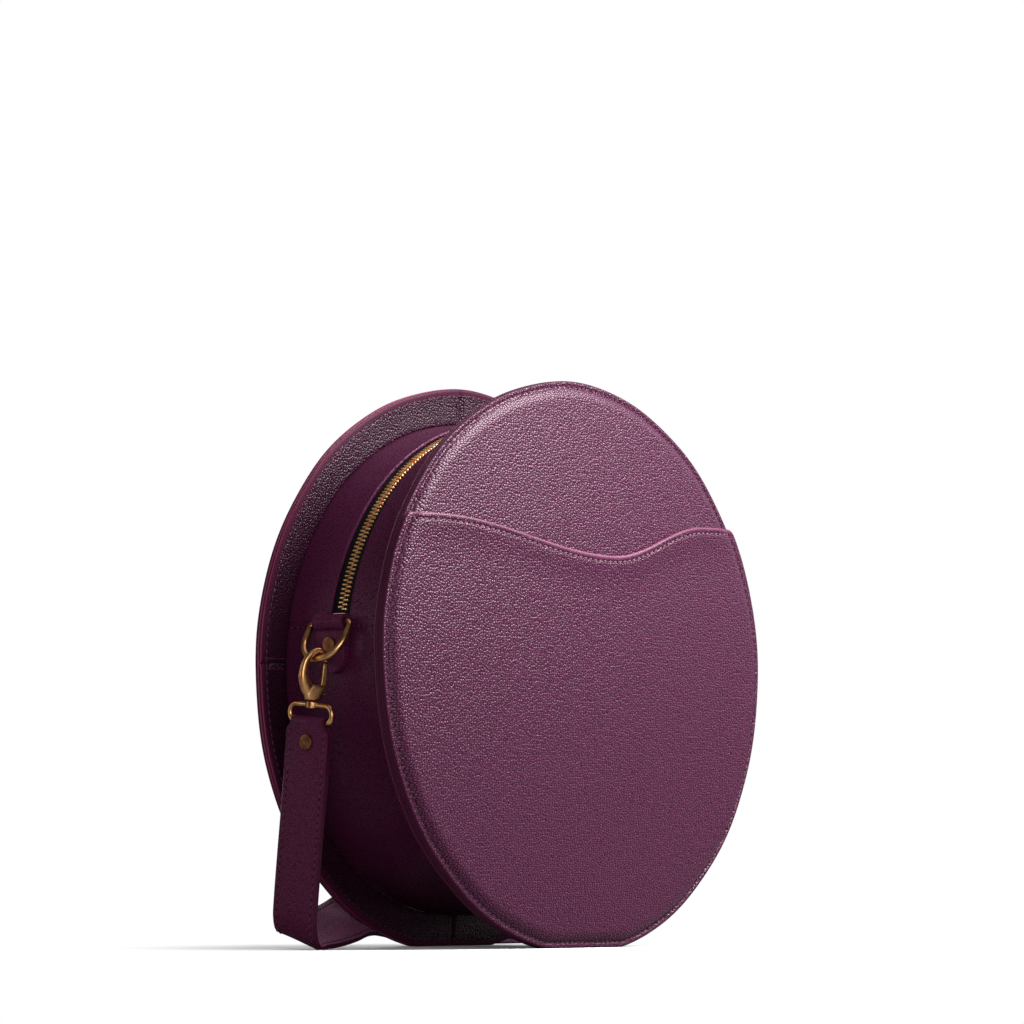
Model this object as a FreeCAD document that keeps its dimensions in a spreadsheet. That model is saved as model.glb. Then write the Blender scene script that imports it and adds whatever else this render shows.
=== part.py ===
import FreeCAD, Part

import math
import os
from types import SimpleNamespace

import Sketcher
from FreeCAD import Placement, Rotation, Vector

# Driving dimensions, in millimetres and degrees
SIZES = [
    # round panels, their stitched rims and padded middles
    ("bag_diameter", 250.0),
    ("rim_depth", 74.0),
    ("floor_flat", 2.5),
    ("panel_leather", 2.0),
    ("facing_leather", 2.0),
    ("facing_seam", 0.1),
    ("rim_margin", 3.0),
    ("shoulder_width", 5.0),
    ("shoulder_height", 2.5),
    ("crown_height", 7.0),
    ("glue_gap", 0.1),
    # slip pocket and its wavy mouth, heights above the middle of the panel
    ("pocket_leather", 1.6),
    ("mouth_height", 63.0),
    ("mouth_dip", 14.5),
    ("mouth_dip_x", 18.0),
    ("mouth_left_x", 92.0),
    ("mouth_right_x", 84.0),
    # gusset between the panels
    ("flange_width", 16.0),
    ("gusset_leather", 2.0),
    ("join_height", 18.0),
    # zip in the upper gusset
    ("zip_offset", 4.0),
    ("zip_slot", 11.0),
    ("tape_width", 14.0),
    ("tape_gap", 2.8),
    ("tape_thickness", 0.8),
    ("tooth_pitch", 2.0),
    ("tooth_thickness", 0.85),
    ("tooth_length", 3.0),
    ("tooth_lap", 0.7),
    ("tooth_height", 1.9),
    ("stop_length", 2.2),
    ("stop_width", 2.0),
    ("slider_rise", 26.0),
    ("slider_length", 11.0),
    ("slider_width", 8.4),
    ("slider_wall", 0.7),
    ("slider_plate", 1.1),
    ("slider_play", 0.4),
    ("post_length", 3.0),
    ("bridge_length", 6.8),
    ("bridge_width", 2.4),
    ("bridge_wall", 1.0),
    ("bridge_room", 2.1),
    ("pull_length", 21.0),
    ("pull_width", 8.4),
    ("pull_thickness", 1.5),
    ("pull_window", 4.4),
    # strap anchors: leather tabs, rings and rivets
    ("tab_width", 17.0),
    ("tab_length", 22.0),
    ("tab_leather", 1.8),
    ("tab_standoff", 0.15),
    ("bar_standoff", 2.6),
    ("bar_height", 17.2),
    ("ring_wire", 3.0),
    ("ring_play", 0.3),
    ("ring_width", 20.0),
    ("ring_drop", 18.5),
    ("ring_corner", 2.5),
    ("ring_tilt_angle", 30.0),
    ("rivet_post", 3.0),
    ("rivet_cap", 7.0),
    ("rivet_cap_height", 1.0),
    ("rivet_play", 0.02),
    ("tab_rivet_drop", 9.6),
    # swivel clasps
    ("clasp_lean_angle", 6.0),
    ("hook_turn_angle", 25.0),
    ("hook_thickness", 4.0),
    ("hook_height", 22.6),
    ("hook_bar", 2.4),
    ("hook_reach", 6.0),
    ("hook_arm", 3.3),
    ("hook_apex_x", 2.0),
    ("hook_crest_x", 2.8),
    ("hook_crest_drop", 2.0),
    ("nook_side", 2.0),
    ("nook_drop", 3.2),
    ("nook_apex_x", 0.9),
    ("nook_play", 1.1),
    ("nook_seat_x", 0.5),
    ("tip_width", 2.4),
    ("tip_drop", 6.2),
    ("block_height", 6.6),
    ("block_foot", 6.8),
    ("block_shoulder", 6.4),
    ("crotch_x", 0.6),
    ("crotch_rise", 0.3),
    ("slot_depth", 2.3),
    ("gate_pivot_x", 4.4),
    ("gate_pivot_drop", 2.0),
    ("gate_foot", 1.3),
    ("gate_width", 1.9),
    ("gate_inset", 0.7),
    ("gate_thickness", 2.0),
    ("gate_play", 0.2),
    ("gate_top_gap", 0.4),
    ("gate_pin", 1.0),
    ("pin_play", 0.05),
    ("spring_leaf", 0.3),
    ("spring_length", 3.0),
    ("spring_play", 0.2),
    ("stem", 2.6),
    ("stem_play", 0.08),
    ("stem_head", 4.0),
    ("stem_head_height", 0.8),
    ("collar", 5.3),
    ("collar_height", 2.9),
    ("collar_gap", 0.5),
    ("eye_wire", 2.4),
    ("eye_width", 27.0),
    ("eye_drop", 7.5),
    # strap
    ("strap_width", 25.0),
    ("neck_play", 1.1),
    ("strap_taper", 9.0),
    ("strap_leather", 2.2),
    ("fold_leather", 1.4),
    ("fold_play", 0.5),
    ("fold_length", 21.5),
    ("strap_rivet_drop", 8.5),
    ("leg_gap", 0.2),
    ("floor_gap", 0.2),
    ("hank_gap", 14.9),
    ("hank_near", 34.0),
    ("hank_run", 106.0),
    ("hank_pitch", 6.7),
    ("hank_runs", 7),
]

doc = FreeCAD.newDocument("circle_bag")
sheet = doc.addObject("Spreadsheet::Sheet", "sizes")
for row, (alias, number) in enumerate(SIZES, 1):
    sheet.set(f"A{row}", alias)
    sheet.set(f"B{row}", str(number))
    sheet.setAlias(f"B{row}", alias)
doc.recompute()


def wording(measure):
    return measure.text if isinstance(measure, Size) else repr(float(measure))


class Size:
    """A measure that keeps the expression of named sizes it comes from."""

    def __init__(self, number, text):
        self.number = float(number)
        self.text = text

    def __float__(self):
        return self.number

    def __add__(self, other):
        return Size(self.number + float(other), f"({self.text} + {wording(other)})")

    def __radd__(self, other):
        return Size(float(other) + self.number, f"({wording(other)} + {self.text})")

    def __sub__(self, other):
        return Size(self.number - float(other), f"({self.text} - {wording(other)})")

    def __rsub__(self, other):
        return Size(float(other) - self.number, f"({wording(other)} - {self.text})")

    def __mul__(self, other):
        return Size(self.number * float(other), f"({self.text} * {wording(other)})")

    __rmul__ = __mul__

    def __truediv__(self, other):
        return Size(self.number / float(other), f"({self.text} / {wording(other)})")

    def __neg__(self):
        return Size(-self.number, f"(-{self.text})")


def root(size):
    return Size(math.sqrt(size.number), f"sqrt({size.text})")


def arc_sine(size):
    return Size(math.degrees(math.asin(size.number)), f"(asin({size.text}) / (1 deg))")


S = SimpleNamespace(**{alias: Size(sheet.get(alias), f"sizes.{alias}") for alias, _ in SIZES})

# Measures worked out from the driving ones
panel_radius = S.bag_diameter / 2
centre_height = panel_radius - S.floor_flat
middle = (S.pocket_leather + S.glue_gap) / 2
seat = S.rim_depth / 2 - S.panel_leather
gusset_radius = panel_radius - S.flange_width
join_angle = arc_sine(S.join_height / gusset_radius)
margin_radius = panel_radius - S.rim_margin
crown_radius = margin_radius - S.shoulder_width
crown_rise = S.crown_height - S.shoulder_height
crown_sphere = (crown_radius * crown_radius + crown_rise * crown_rise) / (crown_rise * 2)
tape_radius = gusset_radius - S.gusset_leather - S.glue_gap
zip_y = middle + S.zip_offset
bar_x = gusset_radius + S.bar_standoff
bar_z = centre_height + S.bar_height

# Turns that point a solid's own Z axis
TO_FRONT = Rotation(Vector(1, 0, 0), 90)
TO_BACK = Rotation(Vector(0, 0, 1), 180).multiply(TO_FRONT)
ALONG_X = Rotation(Vector(0, 1, 0), 90)
ALONG_Y = Rotation(Vector(1, 0, 0), -90)
UPRIGHT = Rotation()

nodes = {}


def node(name, thing):
    thing.Label = name
    nodes[name] = thing


def at(x=0, y=0, z=0, turn=UPRIGHT):
    return Placement(Vector(float(x), float(y), float(z)), turn)


def solid(kind, name, where, **measures):
    thing = doc.addObject(kind, name)
    for key, measure in measures.items():
        thing.setExpression(key, wording(measure))
    thing.Placement = where
    return thing


def cylinder(name, radius, height, where, sweep=360):
    return solid("Part::Cylinder", name, where, Radius=radius, Height=height, Angle=sweep)


def box(name, length, width, height, where):
    return solid("Part::Box", name, where, Length=length, Width=width, Height=height)


def cut(name, base, *tools):
    for count, tool in enumerate(tools, 1):
        last = doc.addObject("Part::Cut", f"{name}_cut{count}")
        last.Base = base
        last.Tool = tool
        base = last
    return base


def fuse(name, *things):
    joined = doc.addObject("Part::MultiFuse", f"{name}_joined")
    joined.Shapes = list(things)
    return joined


def group(name, things):
    grouped = doc.addObject("Part::Compound", f"{name}_group")
    grouped.Links = things
    return grouped


def shaped(name, shape, where):
    thing = doc.addObject("Part::Feature", f"{name}_shape")
    thing.Shape = shape
    thing.Placement = where
    return thing


def origin_plane(body, role):
    return next(plane for plane in body.Origin.OriginFeatures if plane.Role == role)


# Round layers, turned about their own axis
def dome_points(height):
    """Middle, foot of the crown, foot of the shoulder and edge of a domed surface."""
    return [
        (Size(0, "0"), height + S.crown_height),
        (crown_radius, height + S.shoulder_height),
        (margin_radius, height),
        (panel_radius, height),
    ]


def dome_arcs(points):
    """The crown's arc and the shoulder's arc, which meet without a corner."""
    top, foot, rim = (Vector(float(x), float(y), 0) for x, y in points[:3])
    crown_centre = top - Vector(0, float(crown_sphere), 0)
    inward = (crown_centre - foot).normalize()
    chord = rim - foot
    shoulder_radius = chord.Length**2 / (2 * chord.dot(inward))
    shoulder_centre = foot + inward * shoulder_radius
    arcs = []
    for centre, start, end in ((crown_centre, top, foot), (shoulder_centre, foot, rim)):
        halfway = ((start + end) * 0.5 - centre).normalize() * (start - centre).Length
        arcs.append(Part.Arc(start, centre + halfway, end))
    return arcs


def domed_layer(name, height, thickness, where):
    """A leather disc with a flat rim, a rounded shoulder and a crowned middle."""
    body = doc.addObject("PartDesign::Body", f"{name}_body")
    sketch = body.newObject("Sketcher::SketchObject", f"{name}_profile")
    sketch.AttachmentSupport = (origin_plane(body, "XZ_Plane"), [""])
    sketch.MapMode = "FlatFace"
    inner, outer = dome_points(height), dome_points(height + thickness)
    corners = [inner[0], *outer, *reversed(inner[1:])]
    spots = [Vector(float(x), float(y), 0) for x, y in corners]
    outer_crown, outer_shoulder = dome_arcs(outer)
    inner_crown, inner_shoulder = dome_arcs(inner)
    arcs = {1: outer_crown, 2: outer_shoulder, 6: inner_shoulder, 7: inner_crown}
    count = len(spots)
    for edge in range(count):
        line = arcs.get(edge) or Part.LineSegment(spots[edge], spots[(edge + 1) % count])
        sketch.addGeometry(line, False)

    def end_at(edge, spot):
        return min((1, 2), key=lambda end: sketch.getPoint(edge, end).distanceToPoint(spot))

    for corner, spot in enumerate(spots):
        before, after = (corner - 1) % count, corner
        ends = (before, end_at(before, spot), after, end_at(after, spot))
        smooth = before in arcs and after in arcs
        sketch.addConstraint(Sketcher.Constraint("Tangent" if smooth else "Coincident", *ends))
        across, up = corners[corner]
        if float(across) == 0:
            sketch.addConstraint(Sketcher.Constraint("PointOnObject", after, ends[3], -2))
        else:
            pin(sketch, "DistanceX", after, ends[3], across)
        pin(sketch, "DistanceY", after, ends[3], up)
    for crown in (1, 7):
        sketch.addConstraint(Sketcher.Constraint("PointOnObject", crown, 3, -2))
    turned = body.newObject("PartDesign::Revolution", f"{name}_turned")
    turned.Profile = sketch
    turned.ReferenceAxis = (sketch, ["V_Axis"])
    turned.Angle = 360
    body.Placement = where
    return body


def pin(sketch, kind, edge, end, measure):
    """Holds one end of an edge at a measure from the sketch's origin."""
    place = sketch.addConstraint(Sketcher.Constraint(kind, -1, 1, edge, end, float(measure)))
    sketch.setExpression(f"Constraints[{place}]", wording(measure))


front_seat = at(0, middle - seat, centre_height, TO_FRONT)
back_seat = at(0, middle + seat, centre_height, TO_BACK)
ground_depth = S.bag_diameter
ground = box("ground", S.bag_diameter * 2, S.bag_diameter * 2, ground_depth,
             at(-S.bag_diameter, -S.bag_diameter, -ground_depth))

for side, where in (("front", front_seat), ("back", back_seat)):
    panel = domed_layer(f"{side}_panel", Size(0, "0"), S.panel_leather, where)
    node(f"{side}_panel", cut(f"{side}_panel", panel, ground))

    # foam puck that fills the panel's crown
    puck = cylinder(f"{side}_puck", crown_radius - S.glue_gap, S.crown_height, where)
    ball_drop = where.multiply(at(0, 0, S.crown_height - S.glue_gap - crown_sphere))
    ball = solid("Part::Sphere", f"{side}_ball", ball_drop, Radius=crown_sphere)
    padding = doc.addObject("Part::Common", f"{side}_padding_common")
    padding.Base = puck
    padding.Tool = ball
    node(f"{side}_padding", padding)

    # ring of four leather quarters that faces the rim towards the gusset
    behind = where.multiply(at(0, 0, -S.facing_leather))
    ring = cylinder(f"{side}_ring", panel_radius, S.facing_leather, behind)
    hole = cylinder(f"{side}_ring_hole", gusset_radius + S.glue_gap, S.facing_leather, behind)
    level_seam = box(f"{side}_level_seam", S.bag_diameter, S.rim_depth * 2, S.facing_seam,
                     at(-panel_radius, -S.rim_depth, centre_height - S.facing_seam / 2))
    plumb_seam = box(f"{side}_plumb_seam", S.facing_seam, S.rim_depth * 2, S.bag_diameter,
                     at(-S.facing_seam / 2, -S.rim_depth, 0))
    node(f"{side}_facing", cut(f"{side}_facing", ring, hole, ground, level_seam, plumb_seam))


# Slip pocket over the lower front, its mouth a smooth wave
def mouth_cutter():
    """Everything above the pocket's mouth, in the front panel's own frame."""
    dip_x, left, right = float(S.mouth_dip_x), -float(S.mouth_left_x), float(S.mouth_right_x)
    high = float(S.mouth_height)
    low = high - float(S.mouth_dip)
    reach = float(S.bag_diameter)
    halfway = (high + low) / 2
    wave_points = [(left, high), ((left + dip_x) / 2, halfway), (dip_x, low),
                   ((dip_x + right) / 2, halfway), (right, high)]
    wave = Part.BSplineCurve()
    level = Vector(1, 0, 0)
    wave.interpolate(Points=[Vector(x, y, 0) for x, y in wave_points],
                     InitialTangent=level, FinalTangent=level)
    left_end, right_end = Vector(-reach, high, 0), Vector(reach, high, 0)
    left_top, right_top = Vector(-reach, reach, 0), Vector(reach, reach, 0)
    outline = [Part.makeLine(left_end, Vector(left, high, 0)), wave.toShape(),
               Part.makeLine(Vector(right, high, 0), right_end), Part.makeLine(right_end, right_top),
               Part.makeLine(right_top, left_top), Part.makeLine(left_top, left_end)]
    return Part.Face(Part.Wire(outline)).extrude(Vector(0, 0, float(S.rim_depth)))


pocket = domed_layer("front_pocket", S.panel_leather + S.glue_gap, S.pocket_leather, front_seat)
mouth = shaped("mouth", mouth_cutter(), front_seat)
node("front_pocket", cut("front_pocket", pocket, ground, mouth))


# Gusset bands and the zip, wrapped round the bag's axis
def band(name, radius, thickness, front, back, start, sweep):
    """Part of a hoop from y=front to y=back, from an angle above +X through a sweep."""
    turn = TO_FRONT.multiply(Rotation(Vector(0, 0, 1), float(start)))
    where = at(0, back, centre_height, turn)
    outside = cylinder(f"{name}_outside", radius, back - front, where, sweep)
    inside = cylinder(f"{name}_inside", radius - thickness, back - front, where)
    return cut(name, outside, inside)


gusset_front, gusset_back = middle - seat, middle + seat
join_gap = S.glue_gap / gusset_radius * math.degrees(1)
upper_start, upper_sweep = join_angle + join_gap, 180 - (join_angle + join_gap) * 2
slot_front, slot_back = zip_y - S.zip_slot / 2, zip_y + S.zip_slot / 2
lower = band("lower_gusset", gusset_radius, S.gusset_leather, gusset_front, gusset_back,
             180 - join_angle, join_angle * 2 + 180)
rivet_z = bar_z - S.tab_rivet_drop
rivet_bore = cylinder("gusset_rivet_bore", S.rivet_post / 2 + S.rivet_play, S.bag_diameter,
                      at(-panel_radius, zip_y, rivet_z, ALONG_X))
node("lower_gusset", cut("lower_gusset_bored", lower, rivet_bore))
for name, front, back in (("front", gusset_front, slot_front), ("back", slot_back, gusset_back)):
    node(f"zip_gusset_{name}", band(f"zip_gusset_{name}", gusset_radius, S.gusset_leather,
                                    front, back, upper_start, upper_sweep))
tape_edge = S.tape_gap / 2
for name, front, back in (("front", zip_y - S.tape_width, zip_y - tape_edge),
                          ("back", zip_y + tape_edge, zip_y + S.tape_width)):
    node(f"zip_tape_{name}", band(f"zip_tape_{name}", tape_radius, S.tape_thickness,
                                  front, back, upper_start, upper_sweep))


def degrees_along(length):
    return math.degrees(float(length) / float(tape_radius))


def on_zip(angle):
    """On the tape at an angle above +X: own X towards the closed end, own Z outwards."""
    swing = math.radians(angle)
    x = float(tape_radius) * math.cos(swing)
    z = float(centre_height) + float(tape_radius) * math.sin(swing)
    return at(x, zip_y, z, Rotation(Vector(0, 1, 0), 90 - angle))


slider_angle = float(join_angle) + degrees_along(S.slider_rise)
left_end = 180 - float(join_angle)
foot_stop_angle = left_end - degrees_along(S.stop_length)
tooth_lift = S.glue_gap / 2

# teeth alternate from one tape to the other, half a pitch apart
tooth = Part.makeBox(float(S.tooth_thickness), float(S.tooth_length + S.tooth_lap),
                     float(S.tooth_height))
rows = {"front": [], "back": []}
offsets = {"front": -S.tooth_length, "back": -S.tooth_lap}
last_tooth = foot_stop_angle - degrees_along(S.stop_length)
angle, names = slider_angle, ("front", "back")
while angle < last_tooth:
    name = names[(len(rows["front"]) + len(rows["back"])) % 2]
    place = on_zip(angle).multiply(at(-S.tooth_thickness / 2, offsets[name], tooth_lift))
    rows[name].append(tooth.copy())
    rows[name][-1].Placement = place
    angle += degrees_along(S.tooth_pitch / 2)
for name, teeth in rows.items():
    node(f"zip_teeth_{name}", shaped(f"zip_teeth_{name}", Part.makeCompound(teeth), Placement()))

# end stops: one across both tapes at the left, one on each tape past the slider
slider_half = S.slider_length / 2
top_stop_angle = slider_angle - degrees_along(slider_half + S.slider_play + S.stop_length)
foot_width = (S.tape_gap / 2 + S.stop_width) * 2
stops = [box("foot_stop", S.stop_length, foot_width, S.tooth_height,
             on_zip(foot_stop_angle).multiply(at(-S.stop_length / 2, -foot_width / 2, tooth_lift)))]
for name, edge in (("front", -tape_edge - S.stop_width), ("back", tape_edge)):
    stops.append(box(f"top_stop_{name}", S.stop_length, S.stop_width, S.tooth_height,
                     on_zip(top_stop_angle).multiply(at(0, edge, tooth_lift))))
node("zip_stops", group("zip_stops", stops))

# slider: two plates round the chain, a post between the tapes and a bridge for the pull
slider_place = on_zip(slider_angle)
plate_z = tooth_lift + S.tooth_height + S.slider_play
under_z = -S.tape_thickness - S.slider_play
bridge_z = plate_z + S.slider_plate
slider_parts = []
for name, length, width, height, x, y, z in (
    ("plate", S.slider_length, S.slider_width, S.slider_plate,
     -slider_half, -S.slider_width / 2, plate_z),
    ("base", S.slider_length, S.slider_width, S.slider_plate,
     -slider_half, -S.slider_width / 2, under_z - S.slider_plate),
    ("front_wall", S.slider_length, S.slider_wall, plate_z - S.slider_play,
     -slider_half, -S.slider_width / 2, S.slider_play),
    ("back_wall", S.slider_length, S.slider_wall, plate_z - S.slider_play,
     -slider_half, S.slider_width / 2 - S.slider_wall, S.slider_play),
    ("post", S.post_length, S.tape_gap - S.slider_play * 1.5, plate_z - under_z,
     slider_half - S.post_length - S.slider_wall, -S.tape_gap / 2 + S.slider_play * 0.75, under_z),
    ("bridge_tail", S.bridge_wall, S.bridge_width, S.bridge_room,
     -S.bridge_length / 2, -S.bridge_width / 2, bridge_z),
    ("bridge_nose", S.bridge_wall, S.bridge_width, S.bridge_room,
     S.bridge_length / 2 - S.bridge_wall, -S.bridge_width / 2, bridge_z),
    ("bridge_top", S.bridge_length, S.bridge_width, S.bridge_wall,
     -S.bridge_length / 2, -S.bridge_width / 2, bridge_z + S.bridge_room),
):
    slider_parts.append(box(f"slider_{name}", length, width, height,
                            slider_place.multiply(at(x, y, z))))
node("zip_slider", fuse("zip_slider", *slider_parts))

# pull: a stirrup under the bridge that widens into a flat tab with a round end
pull_z = bridge_z + S.bridge_room / 2
pull_place = slider_place.multiply(at(0, 0, pull_z))
pull_bar = S.pull_thickness / 2
cheek_gap = S.bridge_width / 2 + S.slider_play
cheek_width = S.pull_width / 2 - cheek_gap
round_x = S.pull_length - S.pull_width / 2
pull_parts = [
    cylinder("pull_bar", pull_bar, S.pull_width,
             pull_place.multiply(at(0, -S.pull_width / 2, 0, ALONG_Y))),
    box("pull_tab", round_x - S.pull_window, S.pull_width, S.pull_thickness,
        pull_place.multiply(at(S.pull_window, -S.pull_width / 2, -pull_bar))),
    cylinder("pull_end", S.pull_width / 2, S.pull_thickness,
             pull_place.multiply(at(round_x, 0, -pull_bar))),
]
for name, y in (("front", -S.pull_width / 2), ("back", cheek_gap)):
    pull_parts.append(box(f"pull_cheek_{name}", S.pull_window, cheek_width, S.pull_thickness,
                          pull_place.multiply(at(0, y, -pull_bar))))
node("zip_pull", fuse("zip_pull", *pull_parts))


# Strap anchors and swivel clasps, drawn for the left and turned round for the right
def pipe(path, radius, closed_at):
    """Round wire along a path of lines and arcs, from a start point and direction."""
    start, direction = closed_at
    ring = Part.Wire(Part.makeCircle(radius, start, direction))
    return Part.Wire(path).makePipeShell([ring], True, False)


def ring_shape():
    """Ring bent from round wire, its straight bar along Y and its bow hanging down."""
    wire = float(S.ring_wire)
    half = float(S.ring_width) / 2 + wire / 2
    corner, drop = float(S.ring_corner), float(S.ring_drop)
    low = half - drop
    lean = corner * (1 - math.sqrt(0.5))
    flat = half - corner

    def spot(y, z):
        return Vector(0, y, z)

    path = [
        Part.makeLine(spot(0, 0), spot(flat, 0)),
        Part.Arc(spot(flat, 0), spot(half - lean, -lean), spot(half, -corner)).toShape(),
        Part.makeLine(spot(half, -corner), spot(half, low)),
        Part.Arc(spot(half, low), spot(0, -drop), spot(-half, low)).toShape(),
        Part.makeLine(spot(-half, low), spot(-half, -corner)),
        Part.Arc(spot(-half, -corner), spot(lean - half, -lean), spot(-flat, 0)).toShape(),
        Part.makeLine(spot(-flat, 0), spot(0, 0)),
    ]
    return pipe(path, wire / 2, (spot(0, 0), Vector(0, 1, 0)))


def eye_shape():
    """Flat-sided wire loop in the YZ plane, hung under the clasp's collar."""
    wire, drop = float(S.eye_wire), float(S.eye_drop)
    end = drop / 2
    flat = float(S.eye_width) / 2 - wire / 2 - end
    top = -float(S.collar_gap + S.collar_height / 2)
    low = top - drop

    def spot(y, z):
        return Vector(0, y, z)

    path = [
        Part.makeLine(spot(-flat, top), spot(flat, top)),
        Part.Arc(spot(flat, top), spot(flat + end, top - end), spot(flat, low)).toShape(),
        Part.makeLine(spot(flat, low), spot(-flat, low)),
        Part.Arc(spot(-flat, low), spot(-flat - end, top - end), spot(-flat, top)).toShape(),
    ]
    return pipe(path, wire / 2, (spot(-flat, top), Vector(0, 1, 0)))


# hook outline: widths from the swivel's axis, heights above the block's foot
block_top = float(S.block_height)
gate_pivot = (float(S.gate_pivot_x), block_top - float(S.gate_pivot_drop))
slot_floor = gate_pivot[1] - float(S.gate_foot + S.spring_play + S.spring_leaf)
slot_wall = gate_pivot[0] - float(S.slot_depth)
foot_half = float(S.block_foot) / 2
hook_top = float(S.hook_height)
nook_top = hook_top - float(S.hook_bar)
tip_height = hook_top - float(S.tip_drop)
arm_height = hook_top / 2
seat_in_hook = Vector(float(S.nook_seat_x), 0, nook_top - float(S.ring_wire / 2 + S.nook_play))


def profile_face(edges):
    """Closed face in the XZ plane from lines (two points) and arcs (three points)."""
    lines = []
    for spots in edges:
        spots = [Vector(x, 0, z) for x, z in spots]
        lines.append(Part.makeLine(*spots) if len(spots) == 2 else Part.Arc(*spots).toShape())
    return Part.Face(Part.Wire(lines))


def slab(face, thickness):
    """A face in the XZ plane made solid, centred on that plane."""
    half = Vector(0, float(thickness) / 2, 0)
    lowered = face.copy()
    lowered.translate(-half)
    return lowered.extrude(half * 2)


def hook_shape():
    """Cast hook: a block with the gate's slot, a bowed arm, and a stem with a head."""
    reach, inside = float(S.hook_reach), float(S.hook_reach - S.hook_arm)
    crotch = (-float(S.crotch_x), block_top + float(S.crotch_rise))
    shoulder = (float(S.block_shoulder), block_top)
    nook_start = (-float(S.nook_side), nook_top - float(S.nook_drop))
    tip_inner, tip_outer = (reach - float(S.tip_width), tip_height), (reach, tip_height)
    crest = (-float(S.hook_crest_x), hook_top - float(S.hook_crest_drop))
    nook_middle = (block_top + nook_top - float(S.nook_drop)) / 2
    cast = slab(profile_face([
        [(-foot_half, 0), (foot_half, 0)],
        [(foot_half, 0), shoulder],
        [shoulder, crotch],
        [crotch, (-inside, nook_middle), nook_start],
        [nook_start, (float(S.nook_apex_x), nook_top), tip_inner],
        [tip_inner, tip_outer],
        [tip_outer, (float(S.hook_apex_x), hook_top), crest],
        [crest, (-reach, arm_height), (-foot_half, 0)],
    ]), S.hook_thickness)
    slot_width = float(S.gate_thickness + S.gate_play * 2)
    slot_height = block_top + float(S.crotch_rise) - slot_floor
    slot = Part.makeBox(hook_top, slot_width, slot_height,
                        Vector(slot_wall, -slot_width / 2, slot_floor))
    pin_hole = across(gate_pivot, float(S.gate_pin) / 2, float(S.hook_thickness))
    head_top = -float(S.collar_gap + S.collar_height + S.gate_play)
    stem = Part.makeCylinder(float(S.stem) / 2, -head_top + block_top / 2, Vector(0, 0, head_top))
    head = Part.makeCylinder(float(S.stem_head) / 2, float(S.stem_head_height),
                             Vector(0, 0, head_top - float(S.stem_head_height)))
    return cast.cut(slot).cut(pin_hole).fuse([stem, head]).removeSplitter()


def across(spot, radius, length):
    """Cylinder across the hook's thickness, through a point of its outline."""
    return Part.makeCylinder(radius, length, Vector(spot[0], -length / 2, spot[1]), Vector(0, 1, 0))


def gate_shape():
    """Gate that closes the hook's mouth, hung on its pin in the block's slot."""
    x, z = gate_pivot
    top = tip_height - float(S.gate_top_gap)
    foot_radius, near = float(S.gate_foot), x - float(S.gate_inset)
    far = near + float(S.gate_width)
    leaf = slab(profile_face([
        [(x - foot_radius, z), (near, top)],
        [(near, top), (far, top)],
        [(far, top), (x + foot_radius, z)],
        [(x + foot_radius, z), (x - foot_radius, z)],
    ]), S.gate_thickness)
    foot = across(gate_pivot, foot_radius, float(S.gate_thickness))
    hole = across(gate_pivot, float(S.gate_pin) / 2 + float(S.pin_play), float(S.hook_thickness))
    return leaf.fuse(foot).cut(hole).removeSplitter()


def spring_shape():
    """Leaf spring on the floor of the gate's slot."""
    width = float(S.gate_thickness)
    return Part.makeBox(float(S.spring_length), width, float(S.spring_leaf),
                        Vector(slot_wall, -width / 2, slot_floor))


eye_top = -(S.collar_gap + S.collar_height / 2)
eye_low = eye_top - S.eye_drop
neck_width = S.eye_width - (S.eye_wire + S.neck_play) * 2
fold_hole = S.eye_wire / 2 + S.fold_play
strap_rivet_z = eye_low - S.strap_rivet_drop
fold_foot = eye_low - S.fold_length


def strap_end_shape():
    """Strap end folded round the eye: narrow at the fold, full width below it."""
    neck, full = float(neck_width) / 2, float(S.strap_width) / 2
    top, low = float(eye_low), float(fold_foot)
    wide = top - float(S.strap_taper)
    thick = float(S.fold_leather)
    outline = [(neck, top), (full, wide), (full, low), (-full, low), (-full, wide), (-neck, top)]
    loop = [Vector(-thick, y, z) for y, z in [*outline, outline[0]]]
    layers = Part.Face(Part.makePolygon(loop)).extrude(Vector(thick * 2, 0, 0))
    start, along = Vector(0, -neck, top), Vector(0, 1, 0)
    fold = Part.makeCylinder(float(fold_hole) + thick, neck * 2, start, along)
    bore = Part.makeCylinder(float(fold_hole), full * 2, Vector(0, -full, top), along)
    post_hole = Part.makeCylinder(float(S.rivet_post) / 2 + float(S.rivet_play), thick * 4,
                                  Vector(-thick * 2, 0, float(strap_rivet_z)), Vector(1, 0, 0))
    return layers.fuse(fold).cut(bore).cut(post_hole).removeSplitter()


def rivet(name, where, inner, outer):
    """Two-capped rivet along X that grips what lies between inner and outer."""
    cap, tall = S.rivet_cap / 2, S.rivet_cap_height
    post = cylinder(f"{name}_post", S.rivet_post / 2, outer - inner + tall * 2,
                    where.multiply(at(inner - tall, 0, 0, ALONG_X)))
    first = cylinder(f"{name}_cap", cap, tall, where.multiply(at(inner - tall, 0, 0, ALONG_X)))
    second = cylinder(f"{name}_burr", cap, tall, where.multiply(at(outer, 0, 0, ALONG_X)))
    node(name, fuse(name, post, first, second))


tab_face = gusset_radius + S.tab_standoff + S.tab_leather * 2
round_z = bar_z - S.tab_length + S.tab_width / 2
rivet_reach = S.bar_height - S.tab_rivet_drop + S.rivet_cap / 2
gusset_inside = gusset_radius - S.gusset_leather
burr_seat = root(gusset_inside * gusset_inside - rivet_reach * rivet_reach) - S.glue_gap
bow_x = float(bar_x) + float(S.ring_drop) * math.sin(math.radians(float(S.ring_tilt_angle)))
bow_z = float(bar_z) - float(S.ring_drop) * math.cos(math.radians(float(S.ring_tilt_angle)))
turned_round = Placement(Vector(0, 2 * float(zip_y), 0), Rotation(Vector(0, 0, 1), 180))
leg_starts = {}

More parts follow.
